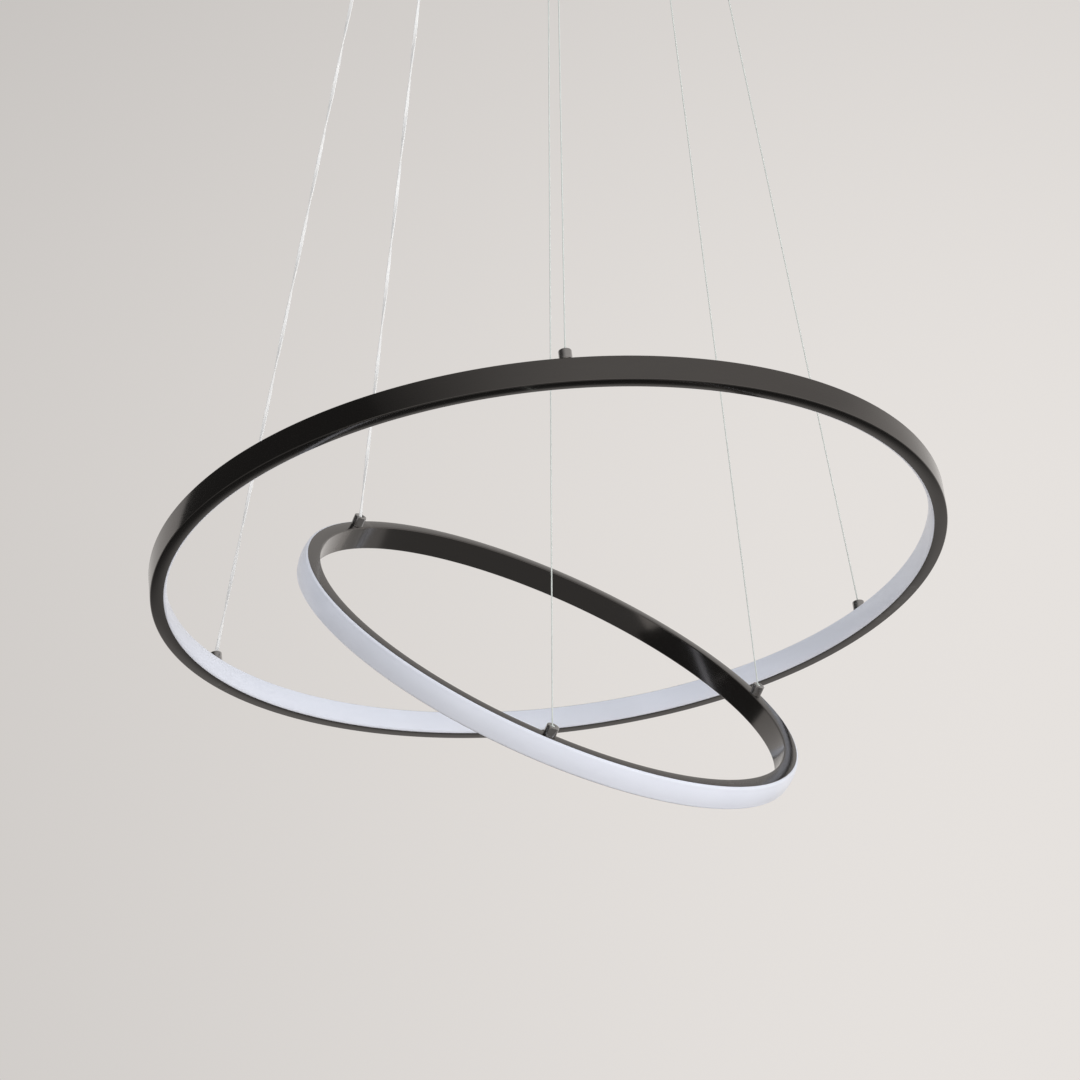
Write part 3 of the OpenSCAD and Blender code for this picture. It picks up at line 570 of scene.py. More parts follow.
def build_mottle(t: Tree, i: dict[str, bpy.types.NodeSocket]) -> dict[str, Socket]:
    """Draws soft clouds with a finer grain on them.

    Args:
        t: the group's nodes.
        i: the group's inputs by name.

    Returns:
        The clouds' shade and the grain's height.
    """
    vector = t.add("ShaderNodeVectorMath", {0: i["Place"], 3: i["Scale"]}, operation="SCALE").outputs[0]
    soft = t.noise(vector, 1.0, 3.0)
    fine = t.noise(vector, 14.0, 2.0)
    return {"Shade": t.span(soft, 0.3, 0.7, 0.0, 1.0), "Height": fine}


def build_edge_wear(t: Tree, i: dict[str, bpy.types.NodeSocket]) -> dict[str, Socket]:
    """Masks the outer edges, broken up as handling wears them.

    Args:
        t: the group's nodes.
        i: the group's inputs by name.

    Returns:
        The mask.
    """
    sharp = t.add("ShaderNodeNewGeometry").outputs["Pointiness"]
    edge = t.span(sharp, 0.51, 0.56, 0.0, 1.0)
    vector = t.add("ShaderNodeVectorMath", {0: i["Place"], 3: 260.0}, operation="SCALE").outputs[0]
    worn = t.span(t.noise(vector, 1.0, 4.0, None, 0.7), 0.42, 0.62, 0.25, 1.0)
    return {"Mask": t.math("MULTIPLY", t.math("MULTIPLY", edge, worn), i["Amount"], clamp=True)}


TOOL_LINES = effect("tool lines", {"Fineness": 2500.0, "Breaks": 40.0, "Across": 1.0}, ("Shade", "Height"),
                    build_tool_lines)
MOTTLE = effect("mottle", {"Scale": 60.0}, ("Shade", "Height"), build_mottle)
EDGE_WEAR = effect("edge wear", {"Amount": 0.5}, ("Mask",), build_edge_wear)


class Surface(Enum):
    """How a surface was made, which sets its pattern."""

    ROLLED = "lines along the ring"
    TURNED = "lines round the piece"
    MOTTLED = "soft clouds"


MADE: dict[str, bpy.types.Material] = {}


@dataclass(frozen=True)
class Finish:
    """One finish, with the values of its shader.

    The two colours are mixed by the surface's pattern, and the roughness moves with it.
    """

    slot: str
    colour: Colour
    deep: Colour
    metallic: float = 0.0
    roughness: float = 0.5
    spread: float = 0.1
    coat: float = 0.0
    coat_roughness: float = 0.1
    anisotropy: float = 0.0
    surface: Surface = Surface.MOTTLED
    fineness: float = 120.0
    breaks: float = 40.0
    bump: float = 0.02
    worn: Optional[Colour] = None
    wear: float = 0.4
    label: str = ""

    def pattern(self, t: Tree, place: Socket) -> bpy.types.Node:
        """Adds the surface's pattern.

        Args:
            t: the material's nodes.
            place: the coordinates that it lies in.

        Returns:
            The group node that gives its shade and height.
        """
        if self.surface is Surface.MOTTLED:
            return t.group(MOTTLE, Place=place, Scale=self.fineness)
        across = 1.0 if self.surface is Surface.ROLLED else 0.3
        return t.group(TOOL_LINES, Place=place, Fineness=self.fineness, Breaks=self.breaks, Across=across)

    def shader(self, t: Tree, colour: Socket, roughness: Socket, normal: Socket) -> bpy.types.Node:
        """Adds the surface's shader with its plain values.

        Args:
            t: the material's nodes.
            colour: the base colour.
            roughness: the roughness.
            normal: the normal.

        Returns:
            The shader node.
        """
        return t.add("ShaderNodeBsdfPrincipled", {
            "Base Color": colour, "Metallic": self.metallic, "Roughness": roughness, "Normal": normal,
            "Coat Weight": self.coat, "Coat Roughness": self.coat_roughness, "Anisotropic": self.anisotropy})

    def base(self, t: Tree, shade: Socket) -> Socket:
        """Returns the colour before wear."""
        return t.mix(shade, self.colour, self.deep)

    def material(self, solid: bool = False) -> bpy.types.Material:
        """Gives the finish's material, which is made on first use.

        Args:
            solid: whether it is for a fixed solid, which has no place of its own stored.

        Returns:
            The material.
        """
        name = (self.label or self.slot) + ("_on_solid" if solid else "")
        if name in MADE:
            return MADE[name]
        made = MADE[name] = bpy.data.materials.new(name)
        made.use_nodes = True
        made.node_tree.nodes.clear()
        t = Tree(made.node_tree)
        place = t.place() if solid else t.own_place()
        pattern = self.pattern(t, place)
        colour = self.base(t, pattern.outputs["Shade"])
        if self.worn is not None:
            bare = t.group(EDGE_WEAR, Place=place, Amount=self.wear).outputs["Mask"]
            colour = t.mix(bare, colour, self.worn)
        roughness = t.span(pattern.outputs["Shade"], 0.2, 0.8, self.roughness - self.spread / 2,
                           self.roughness + self.spread / 2, "LINEAR")
        bump = t.add("ShaderNodeBump", {"Strength": self.bump, "Distance": 0.0005,
                                        "Height": pattern.outputs["Height"]})
        shader = self.shader(t, colour, roughness, bump.outputs[0])
        t.add("ShaderNodeOutputMaterial", {0: shader.outputs[0]})
        return made

    def dress(self, *objs: bpy.types.Object) -> None:
        """Gives pieces this finish.

        Args:
            objs: the pieces.
        """
        for obj in objs:
            obj.data.materials.clear()
            obj.data.materials.append(self.material())

    def paint(self, *nodes: str) -> None:
        """Gives fixed nodes of the frame this finish, leaving their shapes.

        Args:
            nodes: their names.
        """
        for name in nodes:
            mesh = frame["nodes"][name].data
            for k in range(max(1, len(mesh.materials))):
                if len(mesh.materials) <= k:
                    mesh.materials.append(None)
                mesh.materials[k] = self.material(solid=True)
            LOG.info("%s: %s", name, self.slot)


@dataclass(frozen=True)
class ClearJacket(Finish):
    """The clear plastic round the cable's cores."""

    def shader(self, t: Tree, colour: Socket, roughness: Socket, normal: Socket) -> bpy.types.Node:
        """Adds the clear plastic's shader.

        Args:
            t: the material's nodes.
            colour: the base colour.
            roughness: the roughness.
            normal: the normal.

        Returns:
            The shader's node.
        """
        return t.add("ShaderNodeBsdfPrincipled", {
            "Base Color": colour, "Metallic": 0.0, "Roughness": roughness, "Normal": normal,
            "Transmission Weight": 0.1, "IOR": 1.2})


@dataclass(frozen=True)
class StripedLead(Finish):
    """The earth lead's green with two yellow stripes."""

    stripe: Colour = (0.75, 0.62, 0.03)

    def base(self, t: Tree, shade: Socket) -> Socket:
        """Mixes green with yellow along two sides.

        Args:
            t: the material's nodes.
            shade: the pattern's shade.

        Returns:
            The colour.
        """
        row = t.add("ShaderNodeUVMap", uv_map="OFBake").outputs[0]
        v = t.add("ShaderNodeSeparateXYZ", {0: row}).outputs[1]
        wave = t.math("SINE", t.math("MULTIPLY", v, 4 * math.pi / ROWS_TOP))
        return t.mix(t.span(wave, -0.1, 0.1, 0.0, 1.0), t.mix(shade, self.colour, self.deep), self.stripe)


@dataclass(frozen=True)
class BoardParts(Finish):
    """The driver's parts, each coloured by the place where it stands on the board."""

    regions: tuple = ()
    shaded: float = 0.8

    def base(self, t: Tree, shade: Socket) -> Socket:
        """Gives each part on the board its own colour.

        Args:
            t: the material's nodes.
            shade: the pattern's shade.

        Returns:
            The colour.
        """
        x, y, _ = t.add("ShaderNodeSeparateXYZ", {0: t.place()}).outputs
        colour: Socket = t.mix(shade, self.colour, self.deep)
        for (x0, x1, y0, y1), paint in self.regions:
            inside = t.math("MULTIPLY",
                            t.math("MULTIPLY", t.math("GREATER_THAN", x, x0), t.math("LESS_THAN", x, x1)),
                            t.math("MULTIPLY", t.math("GREATER_THAN", y, y0), t.math("LESS_THAN", y, y1)))
            colour = t.mix(inside, colour, t.mix(shade, paint, tuple(c * self.shaded for c in paint)))
        return colour


@dataclass(frozen=True)
class CircuitFilm(Finish):
    """The light strip's white film with faint copper tracks under it."""

    def base(self, t: Tree, shade: Socket) -> Socket:
        """Mixes white with two faint darker tracks along the strip.

        Args:
            t: the material's nodes.
            shade: the pattern's shade.

        Returns:
            The colour.
        """
        z = t.add("ShaderNodeSeparateXYZ", {0: t.place("Generated")}).outputs[2]
        wave = t.span(t.math("SINE", t.math("MULTIPLY", z, 40.0)), 0.6, 0.9, 0.0, 0.25)
        return t.mix(wave, t.mix(shade, self.colour, self.deep), (0.62, 0.5, 0.36))


GUNMETAL = Finish("ring_metal", (0.172, 0.164, 0.158), (0.148, 0.141, 0.136), metallic=1.0,
                  roughness=0.13, spread=0.03, surface=Surface.ROLLED, fineness=1900.0, breaks=30.0,
                  bump=0.012, worn=(0.30, 0.29, 0.28), wear=0.4)
DARK_CHROME = Finish("grip_metal", (0.56, 0.55, 0.54), (0.44, 0.43, 0.43), metallic=1.0, roughness=0.24,
                     spread=0.05, anisotropy=0.2, surface=Surface.TURNED, fineness=4200.0, breaks=3.0,
                     bump=0.04, worn=(0.72, 0.71, 0.7), wear=0.5)
OPAL = Finish("diffuser", (0.800, 0.838, 0.940), (0.780, 0.818, 0.920), roughness=0.34, spread=0.06,
              coat=0.3, coat_roughness=0.16, fineness=22.0, bump=0.01)
STAINLESS = Finish("wire_steel", (0.76, 0.81, 0.79), (0.70, 0.75, 0.73), metallic=0.2, roughness=0.6,
                   spread=0.08, fineness=500.0, bump=0.01)
JACKET = ClearJacket("clear_cable", (1.0, 1.0, 1.0), (0.97, 0.985, 1.0), roughness=0.16, spread=0.05,
                     fineness=200.0, bump=0.02)
TINNED = Finish("clear_cable", (0.94, 0.96, 0.98), (0.88, 0.91, 0.95), metallic=0.1, roughness=0.38,
                spread=0.08, fineness=500.0, bump=0.02, label="plated_cores")
BLACK_PAINT = Finish("canopy_paint", (0.020, 0.020, 0.020), (0.028, 0.027, 0.027), roughness=0.42,
                     spread=0.08, coat=0.25, coat_roughness=0.3, fineness=150.0, bump=0.06,
                     worn=(0.06, 0.06, 0.06), wear=0.5)
NICKEL = Finish("nickel", (0.62, 0.61, 0.59), (0.50, 0.49, 0.47), metallic=1.0, roughness=0.28,
                spread=0.1, surface=Surface.TURNED, fineness=3800.0, breaks=3.0, bump=0.04,
                worn=(0.75, 0.74, 0.72))
ZINC = Finish("zinc_steel", (0.60, 0.61, 0.63), (0.47, 0.48, 0.52), metallic=1.0, roughness=0.36,
              spread=0.16, fineness=160.0, bump=0.03, worn=(0.75, 0.75, 0.76))
SPRING = Finish("spring_steel", (0.62, 0.62, 0.64), (0.48, 0.48, 0.5), metallic=1.0, roughness=0.3,
                spread=0.1, fineness=900.0, bump=0.03)
BRASS = Finish("brass", (0.74, 0.56, 0.24), (0.62, 0.44, 0.17), metallic=1.0, roughness=0.28, spread=0.12,
               fineness=300.0, bump=0.03, worn=(0.85, 0.7, 0.38))
CASE = Finish("driver_plastic", (0.78, 0.78, 0.75), (0.74, 0.74, 0.71), roughness=0.5, spread=0.1,
              fineness=300.0, bump=0.12, worn=(0.84, 0.84, 0.82))
NYLON = Finish("terminal_plastic", (0.82, 0.82, 0.78), (0.76, 0.76, 0.71), roughness=0.42, spread=0.1,
               fineness=260.0, bump=0.06, worn=(0.88, 0.88, 0.85))
FOAM = Finish("foam", (0.74, 0.74, 0.73), (0.62, 0.62, 0.61), roughness=0.95, spread=0.05, fineness=700.0,
              bump=0.6)
BOARD = Finish("board", (0.03, 0.20, 0.09), (0.02, 0.15, 0.07), roughness=0.35, spread=0.1, coat=0.3,
               fineness=240.0, bump=0.05)
PHOSPHOR = Finish("chip", (0.80, 0.62, 0.10), (0.72, 0.52, 0.07), roughness=0.3, spread=0.1, coat=0.5,
                  fineness=700.0, bump=0.05)
FILM = CircuitFilm("strip_film", (0.84, 0.83, 0.79), (0.79, 0.78, 0.74), roughness=0.45, fineness=200.0,
                   bump=0.03)
BARE = Finish("bare_aluminium", (0.62, 0.63, 0.65), (0.52, 0.53, 0.55), metallic=1.0, roughness=0.38,
              spread=0.12, surface=Surface.ROLLED, fineness=2200.0, breaks=60.0, bump=0.05)
BLACK_OXIDE = Finish("black_steel", (0.05, 0.05, 0.055), (0.03, 0.03, 0.035), metallic=1.0, roughness=0.4,
                     spread=0.1, fineness=600.0, bump=0.03, worn=(0.2, 0.2, 0.21))
PARTS = BoardParts("components", (0.10, 0.10, 0.16), (0.07, 0.07, 0.12), roughness=0.4, spread=0.1, coat=0.2,
                   fineness=500.0, bump=0.04, regions=(
                       ((-0.007, 0.015, -0.02, 0.02), (0.80, 0.62, 0.08)),
                       ((0.022, 0.034, 0.001, 0.02), (0.48, 0.22, 0.07)),
                       ((0.0155, 0.0245, -0.0045, 0.0065), (0.10, 0.32, 0.55)),
                       ((-0.026, -0.0085, -0.02, -0.009), (0.60, 0.60, 0.62))))


class LeadColour(Enum):
    """The insulation of the leads, which all take one slot."""

    BROWN = ((0.16, 0.07, 0.03), (0.12, 0.05, 0.02))
    BLUE = ((0.03, 0.12, 0.42), (0.02, 0.09, 0.34))
    WHITE = ((0.80, 0.80, 0.78), (0.74, 0.74, 0.72))

    def finish(self) -> Finish:
        """Returns the finish of this insulation."""
        return Finish("lead_insulation", *self.value, roughness=0.42, spread=0.1, coat=0.2, fineness=260.0,
                      bump=0.04, label=f"{self.name.lower()}_insulation")


EARTH_STRIPES = StripedLead("lead_insulation", (0.03, 0.30, 0.06), (0.02, 0.25, 0.05), roughness=0.42,
                            spread=0.1, coat=0.2, fineness=260.0, bump=0.04, label="striped_insulation")


# The rings


@dataclass
class Hanging:
    """How a ring hangs: its tilt, the direction in which it runs down and its drop, as in the solids."""

    drop: float
    tilt: float
    direction: float
    offset: float = 0.004

    def matrix(self) -> Matrix:
        """Returns the ring's own frame in the room."""
        turn = Matrix.Rotation(math.radians(self.direction), 4, "Z")
        lean = Matrix.Rotation(math.radians(self.tilt), 4, "Y")
        return Matrix.Translation((self.offset, 0, -self.drop)) @ turn @ lean @ turn.inverted()


@dataclass(frozen=True)
class GripCap:
    """The sizes of a turned grip cap, with the ring's top at zero.

    A wire's cap holds the wire's ball in its seat under a throat, and a cable's cap is a plain flared tube.
    """

    collar: float = 0.0006
    tall: float = 0.0074
    radius: float = 0.0047
    bore: float = 0.00335
    boss_top: float = 0.0038
    pivot: float = 0.0060
    seat: float = 0.00225
    throat: float = 0.00162
    throat_rise: float = 0.0013
    flare: float = 0.9
    cable_foot: float = 0.0016
    cable_neck: float = 0.0017
    cable_mouth: float = 0.0028
    mouth_drop: float = 0.0019
    chamfer: float = 0.0005
    sides: int = 64
    sharp: float = 40.0

    def outline(self, for_cable: bool) -> Outline:
        """Gives the cap's half section.

        Args:
            for_cable: whether it takes the cable or a wire's ball.

        Returns:
            Its points as (radius, height).
        """
        top = self.collar + self.tall
        if for_cable:
            inner = [(self.cable_foot, self.boss_top, 0), (self.cable_neck, top - self.mouth_drop, 0.0003),
                     (self.cable_mouth, top, 0.0002)]
        else:
            throat = self.pivot + self.throat_rise
            inner = [(self.seat, self.boss_top, 0), (self.seat, self.pivot, 0.0004),
                     (self.throat, throat, 0.0002), (self.throat + (top - throat) * self.flare, top, 0.00015)]
        return rounded([(self.radius, self.collar, 0.00025), (self.bore, self.collar, 0.0001),
                        (self.bore, self.boss_top, 0), *inner, (self.radius - self.chamfer, top, 0.0003),
                        (self.radius, top - self.chamfer, 0.0003)], 3)


@dataclass
class Ring:
    """One ring: channel, closing piece, diffuser and grip caps, all in metres."""

    name: str
    radius: float
    inward: bool
    hanging: Hanging
    first_grip: float
    width: float = 0.010
    height: float = 0.019
    wall: float = 0.0012
    bevel: float = 0.0006
    lip_width: float = 0.0012
    lip_drop: float = 0.0006
    gap: float = 0.0001
    out: float = 0.003
    edge: float = 0.0024
    step: float = 0.0003
    skin: float = 0.0013
    crown: float = 0.0009
    foot: float = 0.0009
    crown_cut: float = 0.4
    fine: float = 0.00012
    soft: float = 0.00025
    stud: float = 0.0044
    seam_gap: float = 0.0003
    closing: float = 0.007
    seam_offset: float = 0.008
    steps: int = 360
    rows: int = 12
    cap: GripCap = GripCap()
    made: list[bpy.types.Object] = field(default_factory=list)

    def angles(self) -> list[float]:
        """Returns the places of the right, left and near grip in degrees."""
        return [self.first_grip + 120 * k for k in range(3)]

    def arc(self, length: float) -> float:
        """Returns the angle that a length along the outer radius spans."""
        return math.degrees(length / self.radius)

    def seam(self) -> float:
        """Returns the place of the closing piece's middle in degrees."""
        return self.angles()[1] - self.arc(self.seam_offset)

    def outward(self, outline: Outline) -> Outline:
        """Turns depths from the closed wall into radii.

        Args:
            outline: points as (depth, height).

        Returns:
            The points as (radius, height).
        """
        if self.inward:
            return [(self.radius - s, z) for s, z in outline]
        return [(self.radius - self.width + s, z) for s, z in outline]

    def section(self) -> Outline:
        """Returns the channel's U with its small roundings."""
        half, inner, w = self.height / 2, self.height / 2 - self.wall, self.width
        fine, soft = self.fine, self.soft
        lower = [(0, self.bevel - half, soft), (self.bevel, -half, soft), (w, -half, fine),
                 (w, self.lip_drop - inner, fine), (w - self.lip_width, self.lip_drop - inner, fine),
                 (w - self.lip_width, -inner, 0), (self.wall, -inner, 0)]
        upper = [(s, -z, r) for s, z, r in reversed(lower)]
        return self.outward(rounded(lower + upper, 3))

    def grip_place(self, angle: float) -> Matrix:
        """Gives the frame of a grip, with the ring's top at zero.

        Args:
            angle: its place on the ring in degrees.

        Returns:
            The frame.
        """
        spin = Matrix.Rotation(math.radians(angle), 4, "Z")
        out = Matrix.Translation((self.radius - self.width / 2, 0, self.height / 2))
        return self.hanging.matrix() @ spin @ out

    def drill(self, obj: bpy.types.Object) -> None:
        """Cuts the stud holes through the upper wall.

        Args:
            obj: the channel.
        """
        bm = bmesh.new()
        for angle in self.angles():
            spin = Matrix.Rotation(math.radians(angle), 4, "Z")
            out = Matrix.Translation((self.radius - self.width / 2, 0, self.height / 2 - self.wall / 2))
            bmesh.ops.create_cone(bm, cap_ends=True, segments=40, radius1=self.stud / 2 + self.gap,
                                  radius2=self.stud / 2 + self.gap, depth=3 * self.wall, matrix=spin @ out)
        tool = settled(bm, obj.name + "_tool", self.hanging.matrix())
        cut = obj.modifiers.new("stud holes", "BOOLEAN")
        cut.operation, cut.solver, cut.object = "DIFFERENCE", "EXACT", tool
        bpy.context.view_layer.update()
        ready = obj.evaluated_get(bpy.context.evaluated_depsgraph_get())
        mesh = bpy.data.meshes.new_from_object(ready)
        obj.modifiers.clear()
        obj.data = mesh
        bpy.data.objects.remove(tool)
        remember(mesh, self.hanging.matrix())
        mesh.set_sharp_from_angle(angle=math.radians(SHARP))

    def channel(self) -> bpy.types.Object:
        """Builds the rolled channel, open where the closing piece sits.

        Returns:
            The channel.
        """
        span = self.arc(self.closing + 2 * self.seam_gap)
        obj = turned(f"{self.name}_channel_body", self.section(), self.steps, self.hanging.matrix(),
                     self.seam() + span / 2, 360 - span, rows=self.rows)
        self.drill(obj)
        GUNMETAL.dress(obj)
        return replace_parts(obj, f"{self.name}_channel")

    def closing_piece(self) -> bpy.types.Object:
        """Builds the short piece that closes the channel.

        Returns:
            The closing piece.
        """
        span = self.arc(self.closing)
        obj = turned(f"{self.name}_closing_cover", self.section(), 8, self.hanging.matrix(),
                     self.seam() - span / 2, span)
        GUNMETAL.dress(obj)
        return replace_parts(obj, f"{self.name}_closing_piece")

    def diffuser(self) -> bpy.types.Object:
        """Builds the opal profile: its head covers the channel's edges, its legs catch behind the lips.

        Returns:
            The profile.
        """
        inner, half = self.height / 2 - self.wall, self.height / 2
        back = self.width - self.lip_width - self.gap - self.foot
        head, face = self.width + self.gap, self.width + self.out
        leg, foot, reach = inner - self.lip_drop - self.gap, inner - self.gap, half - self.step
        turn, flat = self.edge - self.crown * self.crown_cut, reach - self.edge
        nib, corner, hollow_corner, bends, cuts = 0.0001, 0.00015, 0.0003, 10, 5
        angles = [math.radians(90 * k / bends) for k in range(1, bends - 1)]
        lower = [(back, self.skin - leg, 0), (back, -foot, nib), (back + self.foot, -foot, nib),
                 (back + self.foot, -leg, 0), (head, -leg, 0), (head, -reach, corner),
                 (face - self.crown - turn, -reach, 0)]
        lower += [(face - self.crown - turn * (1 - math.sin(a)), self.edge * (1 - math.cos(a)) - reach, 0)
                  for a in angles]
        lower += [(face - self.crown * k * k / cuts ** 2, -flat * k / cuts, 0) for k in range(cuts, 0, -1)]
        upper = [(s, -z, r) for s, z, r in reversed(lower)]
        hollow = [(face - self.skin, leg - self.skin, hollow_corner),
                  (face - self.skin, self.skin - leg, hollow_corner)]
        outline = rounded(lower + [(face, 0, 0)] + upper + hollow, 6)
        obj = turned(f"{self.name}_opal", self.outward(outline), self.steps, self.hanging.matrix(),
                     rows=self.rows)
        OPAL.dress(obj)
        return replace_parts(obj, f"{self.name}_diffuser")

    def grip_cap(self, angle: float, for_cable: bool, label: str) -> bpy.types.Object:
        """Builds one turned cap in its own frame.

        Args:
            angle: its place on the ring in degrees.
            for_cable: whether it takes the cable or a wire's ball.
            label: the word for its place.

        Returns:
            The cap.
        """
        obj = turned(f"{self.name}_{label}_cap", self.cap.outline(for_cable), self.cap.sides,
                     self.grip_place(angle), sharp=self.cap.sharp)
        DARK_CHROME.dress(obj)
        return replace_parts(obj, f"{self.name}_grip_caps")

    def build(self) -> None:
        """Builds the ring's pieces and sets them on its body."""
        self.made += [self.channel(), self.closing_piece(), self.diffuser()]
        for angle, label in zip(self.angles(), ("right", "left", "near")):
            self.made.append(self.grip_cap(angle, label == "left", label))
        for obj in self.made:
            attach(obj, f"{self.name}_ring")
            LOG.info("%s: %d faces", obj.name, len(obj.data.polygons))
        FILM.paint(f"{self.name}_led_strip")
        PHOSPHOR.paint(f"{self.name}_led_chips")
        BARE.paint(f"{self.name}_joiner_bar")
        BLACK_OXIDE.paint(f"{self.name}_joiner_screws")
        DARK_CHROME.paint(f"{self.name}_grip_studs")
        ZINC.paint(f"{self.name}_grip_nuts")


# Wires and cables


@dataclass
class SteelWire:
    """A stranded steel wire with a ball in its grip, from there up through its gripper."""

    node: str
    ball: Vector
    anchor: Vector
    bodies: tuple[str, str]
    line: Optional[str] = None
    split: float = 0.88
    diameter: float = 0.001
    ball_diameter: float = 0.004
    lay: float = 0.007
    cuts: int = 7
    tail: float = -0.012
    held: float = 0.003

    def piece(self, name: str, path: list[Vector], ball: float) -> bpy.types.Object:
        """Draws one stretch of the wire.

        Args:
            name: the piece's name.
            path: its points from below.
            ball: the ball's diameter, or zero.

        Returns:
            The stretch.
        """
        obj = drawn(name, spaced(path, self.lay / self.cuts), strand(self.diameter, self.lay), rows=16,
                    ball=ball, sharp=75)
        STAINLESS.dress(obj)
        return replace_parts(obj, self.node)

    def declare(self, obj: bpy.types.Object, path: list[Vector]) -> None:
        """Says how long the stretch is.

        Args:
            obj: the stretch.
            path: its points, from the ring's side up.
        """
        LOG.info("%s: %.0f mm", obj.name, length_of(path) / MM)

    def build(self) -> None:
        """Draws the wire, in one stretch, or in two split near the ball where it is given a line."""
        top = Vector((self.anchor.x, self.anchor.y, self.tail))
        if self.line is None:
            path = [self.ball, self.anchor, top]
            obj = self.piece(f"{self.node}_strand", path, self.ball_diameter)
            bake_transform(obj)
            self.declare(obj, path)
            return
        mid = self.anchor.lerp(self.ball, self.split)
        upper_path, lower_path = [mid, self.anchor, top], [self.ball, mid]
        upper = self.piece(f"{self.node}_upper", upper_path, 0.0)
        lower = self.piece(f"{self.node}_lower", lower_path, self.ball_diameter)
        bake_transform(upper)
        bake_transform(lower)
        self.declare(upper, upper_path)
        self.declare(lower, lower_path)


@dataclass
class ClearCable:
    """A clear two-core cable from its grip through its gland to its connector in the canopy."""

    node: str
    bottom: Vector
    bend: Vector
    anchor: Vector
    connector_x: float
    bodies: tuple[str, str]
    ring_body: str
    line: Optional[str] = None
    split: float = 0.85
    phase: float = 0.0
    pitch: float = 0.13
    diameter: float = 0.0028
    core: float = 0.0006
    core_sides: int = 8
    fineness: float = 0.0025
    easing: float = 0.006
    over_floor: tuple = ((0.0, 0.0, -0.028), (0.01, -0.002, -0.025), (0.1, -0.008, -0.026))
    to_connector: tuple = ((0.8, 0.022, -0.0308), (1.0, 0.017, -0.0348), (1.0, 0.012, -0.0348))

    def route(self) -> list[Vector]:
        """Gives the route from the grip's bend up, over the canopy's floor and to the connector.

        Each corner is a share of the way across to the connector, a place in depth and a height. The depths
        of the first three are counted from the gland.

        Returns:
            The route's corners.
        """
        a, x = self.anchor, self.connector_x
        corners = [(share, a.y + step, z) for share, step, z in self.over_floor] + list(self.to_connector)
        return [self.bend, a] + [Vector((a.x * (1 - share) + x * share, y, z)) for share, y, z in corners]

    def stretch(self, label: str, path: list[Vector], run: float) -> list[bpy.types.Object]:
        """Draws the jacket and the cores of one stretch.

        Args:
            label: the stretch's word.
            path: its points.
            run: how far along the cable it starts, which sets its turn.

        Returns:
            The jacket and the two cores.
        """
        fine = spaced(path, self.fineness)
        phase = self.phase + 360 * run / self.pitch
        jacket = drawn(f"{self.node}_{label}_jacket", fine, twin(self.diameter, self.pitch, phase), rows=16)
        out = [jacket]
        for side in (-1, 1):
            def core(at: float, side: int = side) -> Outline:
                """Works out one core's section at one place.

                Args:
                    at: the distance along the stretch.
                    side: which of the two cores.

                Returns:
                    The section's points.
                """
                turn = math.radians(phase) + 2 * math.pi * at / self.pitch
                x, y = side * self.diameter / 4 * math.cos(turn), side * self.diameter / 4 * math.sin(turn)
                around = [2 * math.pi * k / self.core_sides for k in range(self.core_sides)]
                return [(x + self.core * math.cos(a), y + self.core * math.sin(a)) for a in around]
            out.append(drawn(f"{self.node}_{label}_core_{'ab'[side > 0]}", fine, core, rows=16))
        return out

    def dress(self, pieces: list[bpy.types.Object]) -> None:
        """Gives the jacket and cores their finishes and lets them stand for the node.

        Args:
            pieces: the jacket and the two cores.
        """
        JACKET.dress(pieces[0])
        TINNED.dress(*pieces[1:])
        for obj in pieces:
            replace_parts(obj, self.node)

    def declare(self, pieces: list[bpy.types.Object], path: list[Vector],
                extra: list[bpy.types.Object]) -> None:
        """Says how long the stretch is.

        Args:
            pieces: the jacket and the two cores.
            path: its points, from the ring's side up.
            extra: not used.
        """
        LOG.info("%s: %.0f mm", pieces[0].name, length_of(path) / MM)

    def build(self) -> None:
        """Draws the cable: its upper part, its lower part and the end that sits in the grip."""
        canopy, hanger = self.bodies
        end = self.stretch("end", [self.bottom, self.bend], -(self.bend - self.bottom).length)
        self.dress(end)
        for obj in end:
            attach(obj, self.ring_body)
        corners = self.route()
        if self.line is None:
            path = eased(corners, self.easing)
            parts = [("main", path, canopy, hanger, self.anchor, self.bend, end)]
        else:
            mid = self.anchor.lerp(self.bend, self.split)
            parts = [("lower", [self.bend, mid], hanger, self.line, mid, self.bend, end),
                     ("upper", eased([mid] + corners[1:], self.easing), canopy, hanger, self.anchor, mid,
                      [])]
        run = 0.0
        for label, path, one, other, start, stop, extra in parts:
            pieces = self.stretch(label, path, run)
            run += length_of(path)
            self.dress(pieces)
            for obj in pieces:
                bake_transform(obj)
            self.declare(pieces, path, extra)


@dataclass
class GripperSpring:
    """A gripper's coil spring, drawn at one length; the real one is squeezed when its plunger is pushed in.
    """

    name: str
    anchor: Vector
    low: float = -0.04906
    high: float = -0.04139
    radius: float = 0.0025
    wire: float = 0.0006
    turns: int = 6
    steps: int = 24

    def build(self) -> None:
        """Winds the spring between its plunger's flange and the top of its chamber."""
        x, y, count = self.anchor.x, self.anchor.y, self.turns * self.steps
        rise = (self.high - self.low) / count
        turns = [2 * math.pi * k / self.steps for k in range(count + 1)]
        path = [Vector((x + self.radius * math.cos(a), y + self.radius * math.sin(a), self.low + rise * k))
                for k, a in enumerate(turns)]
        obj = drawn(f"{self.name}_coil", path, disc(self.wire, 10), rows=6)
        SPRING.dress(obj)
        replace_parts(obj, f"{self.name}_spring")
        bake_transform(obj)
        LOG.info("%s: %d turns", obj.name, self.turns)


# The canopy's insides


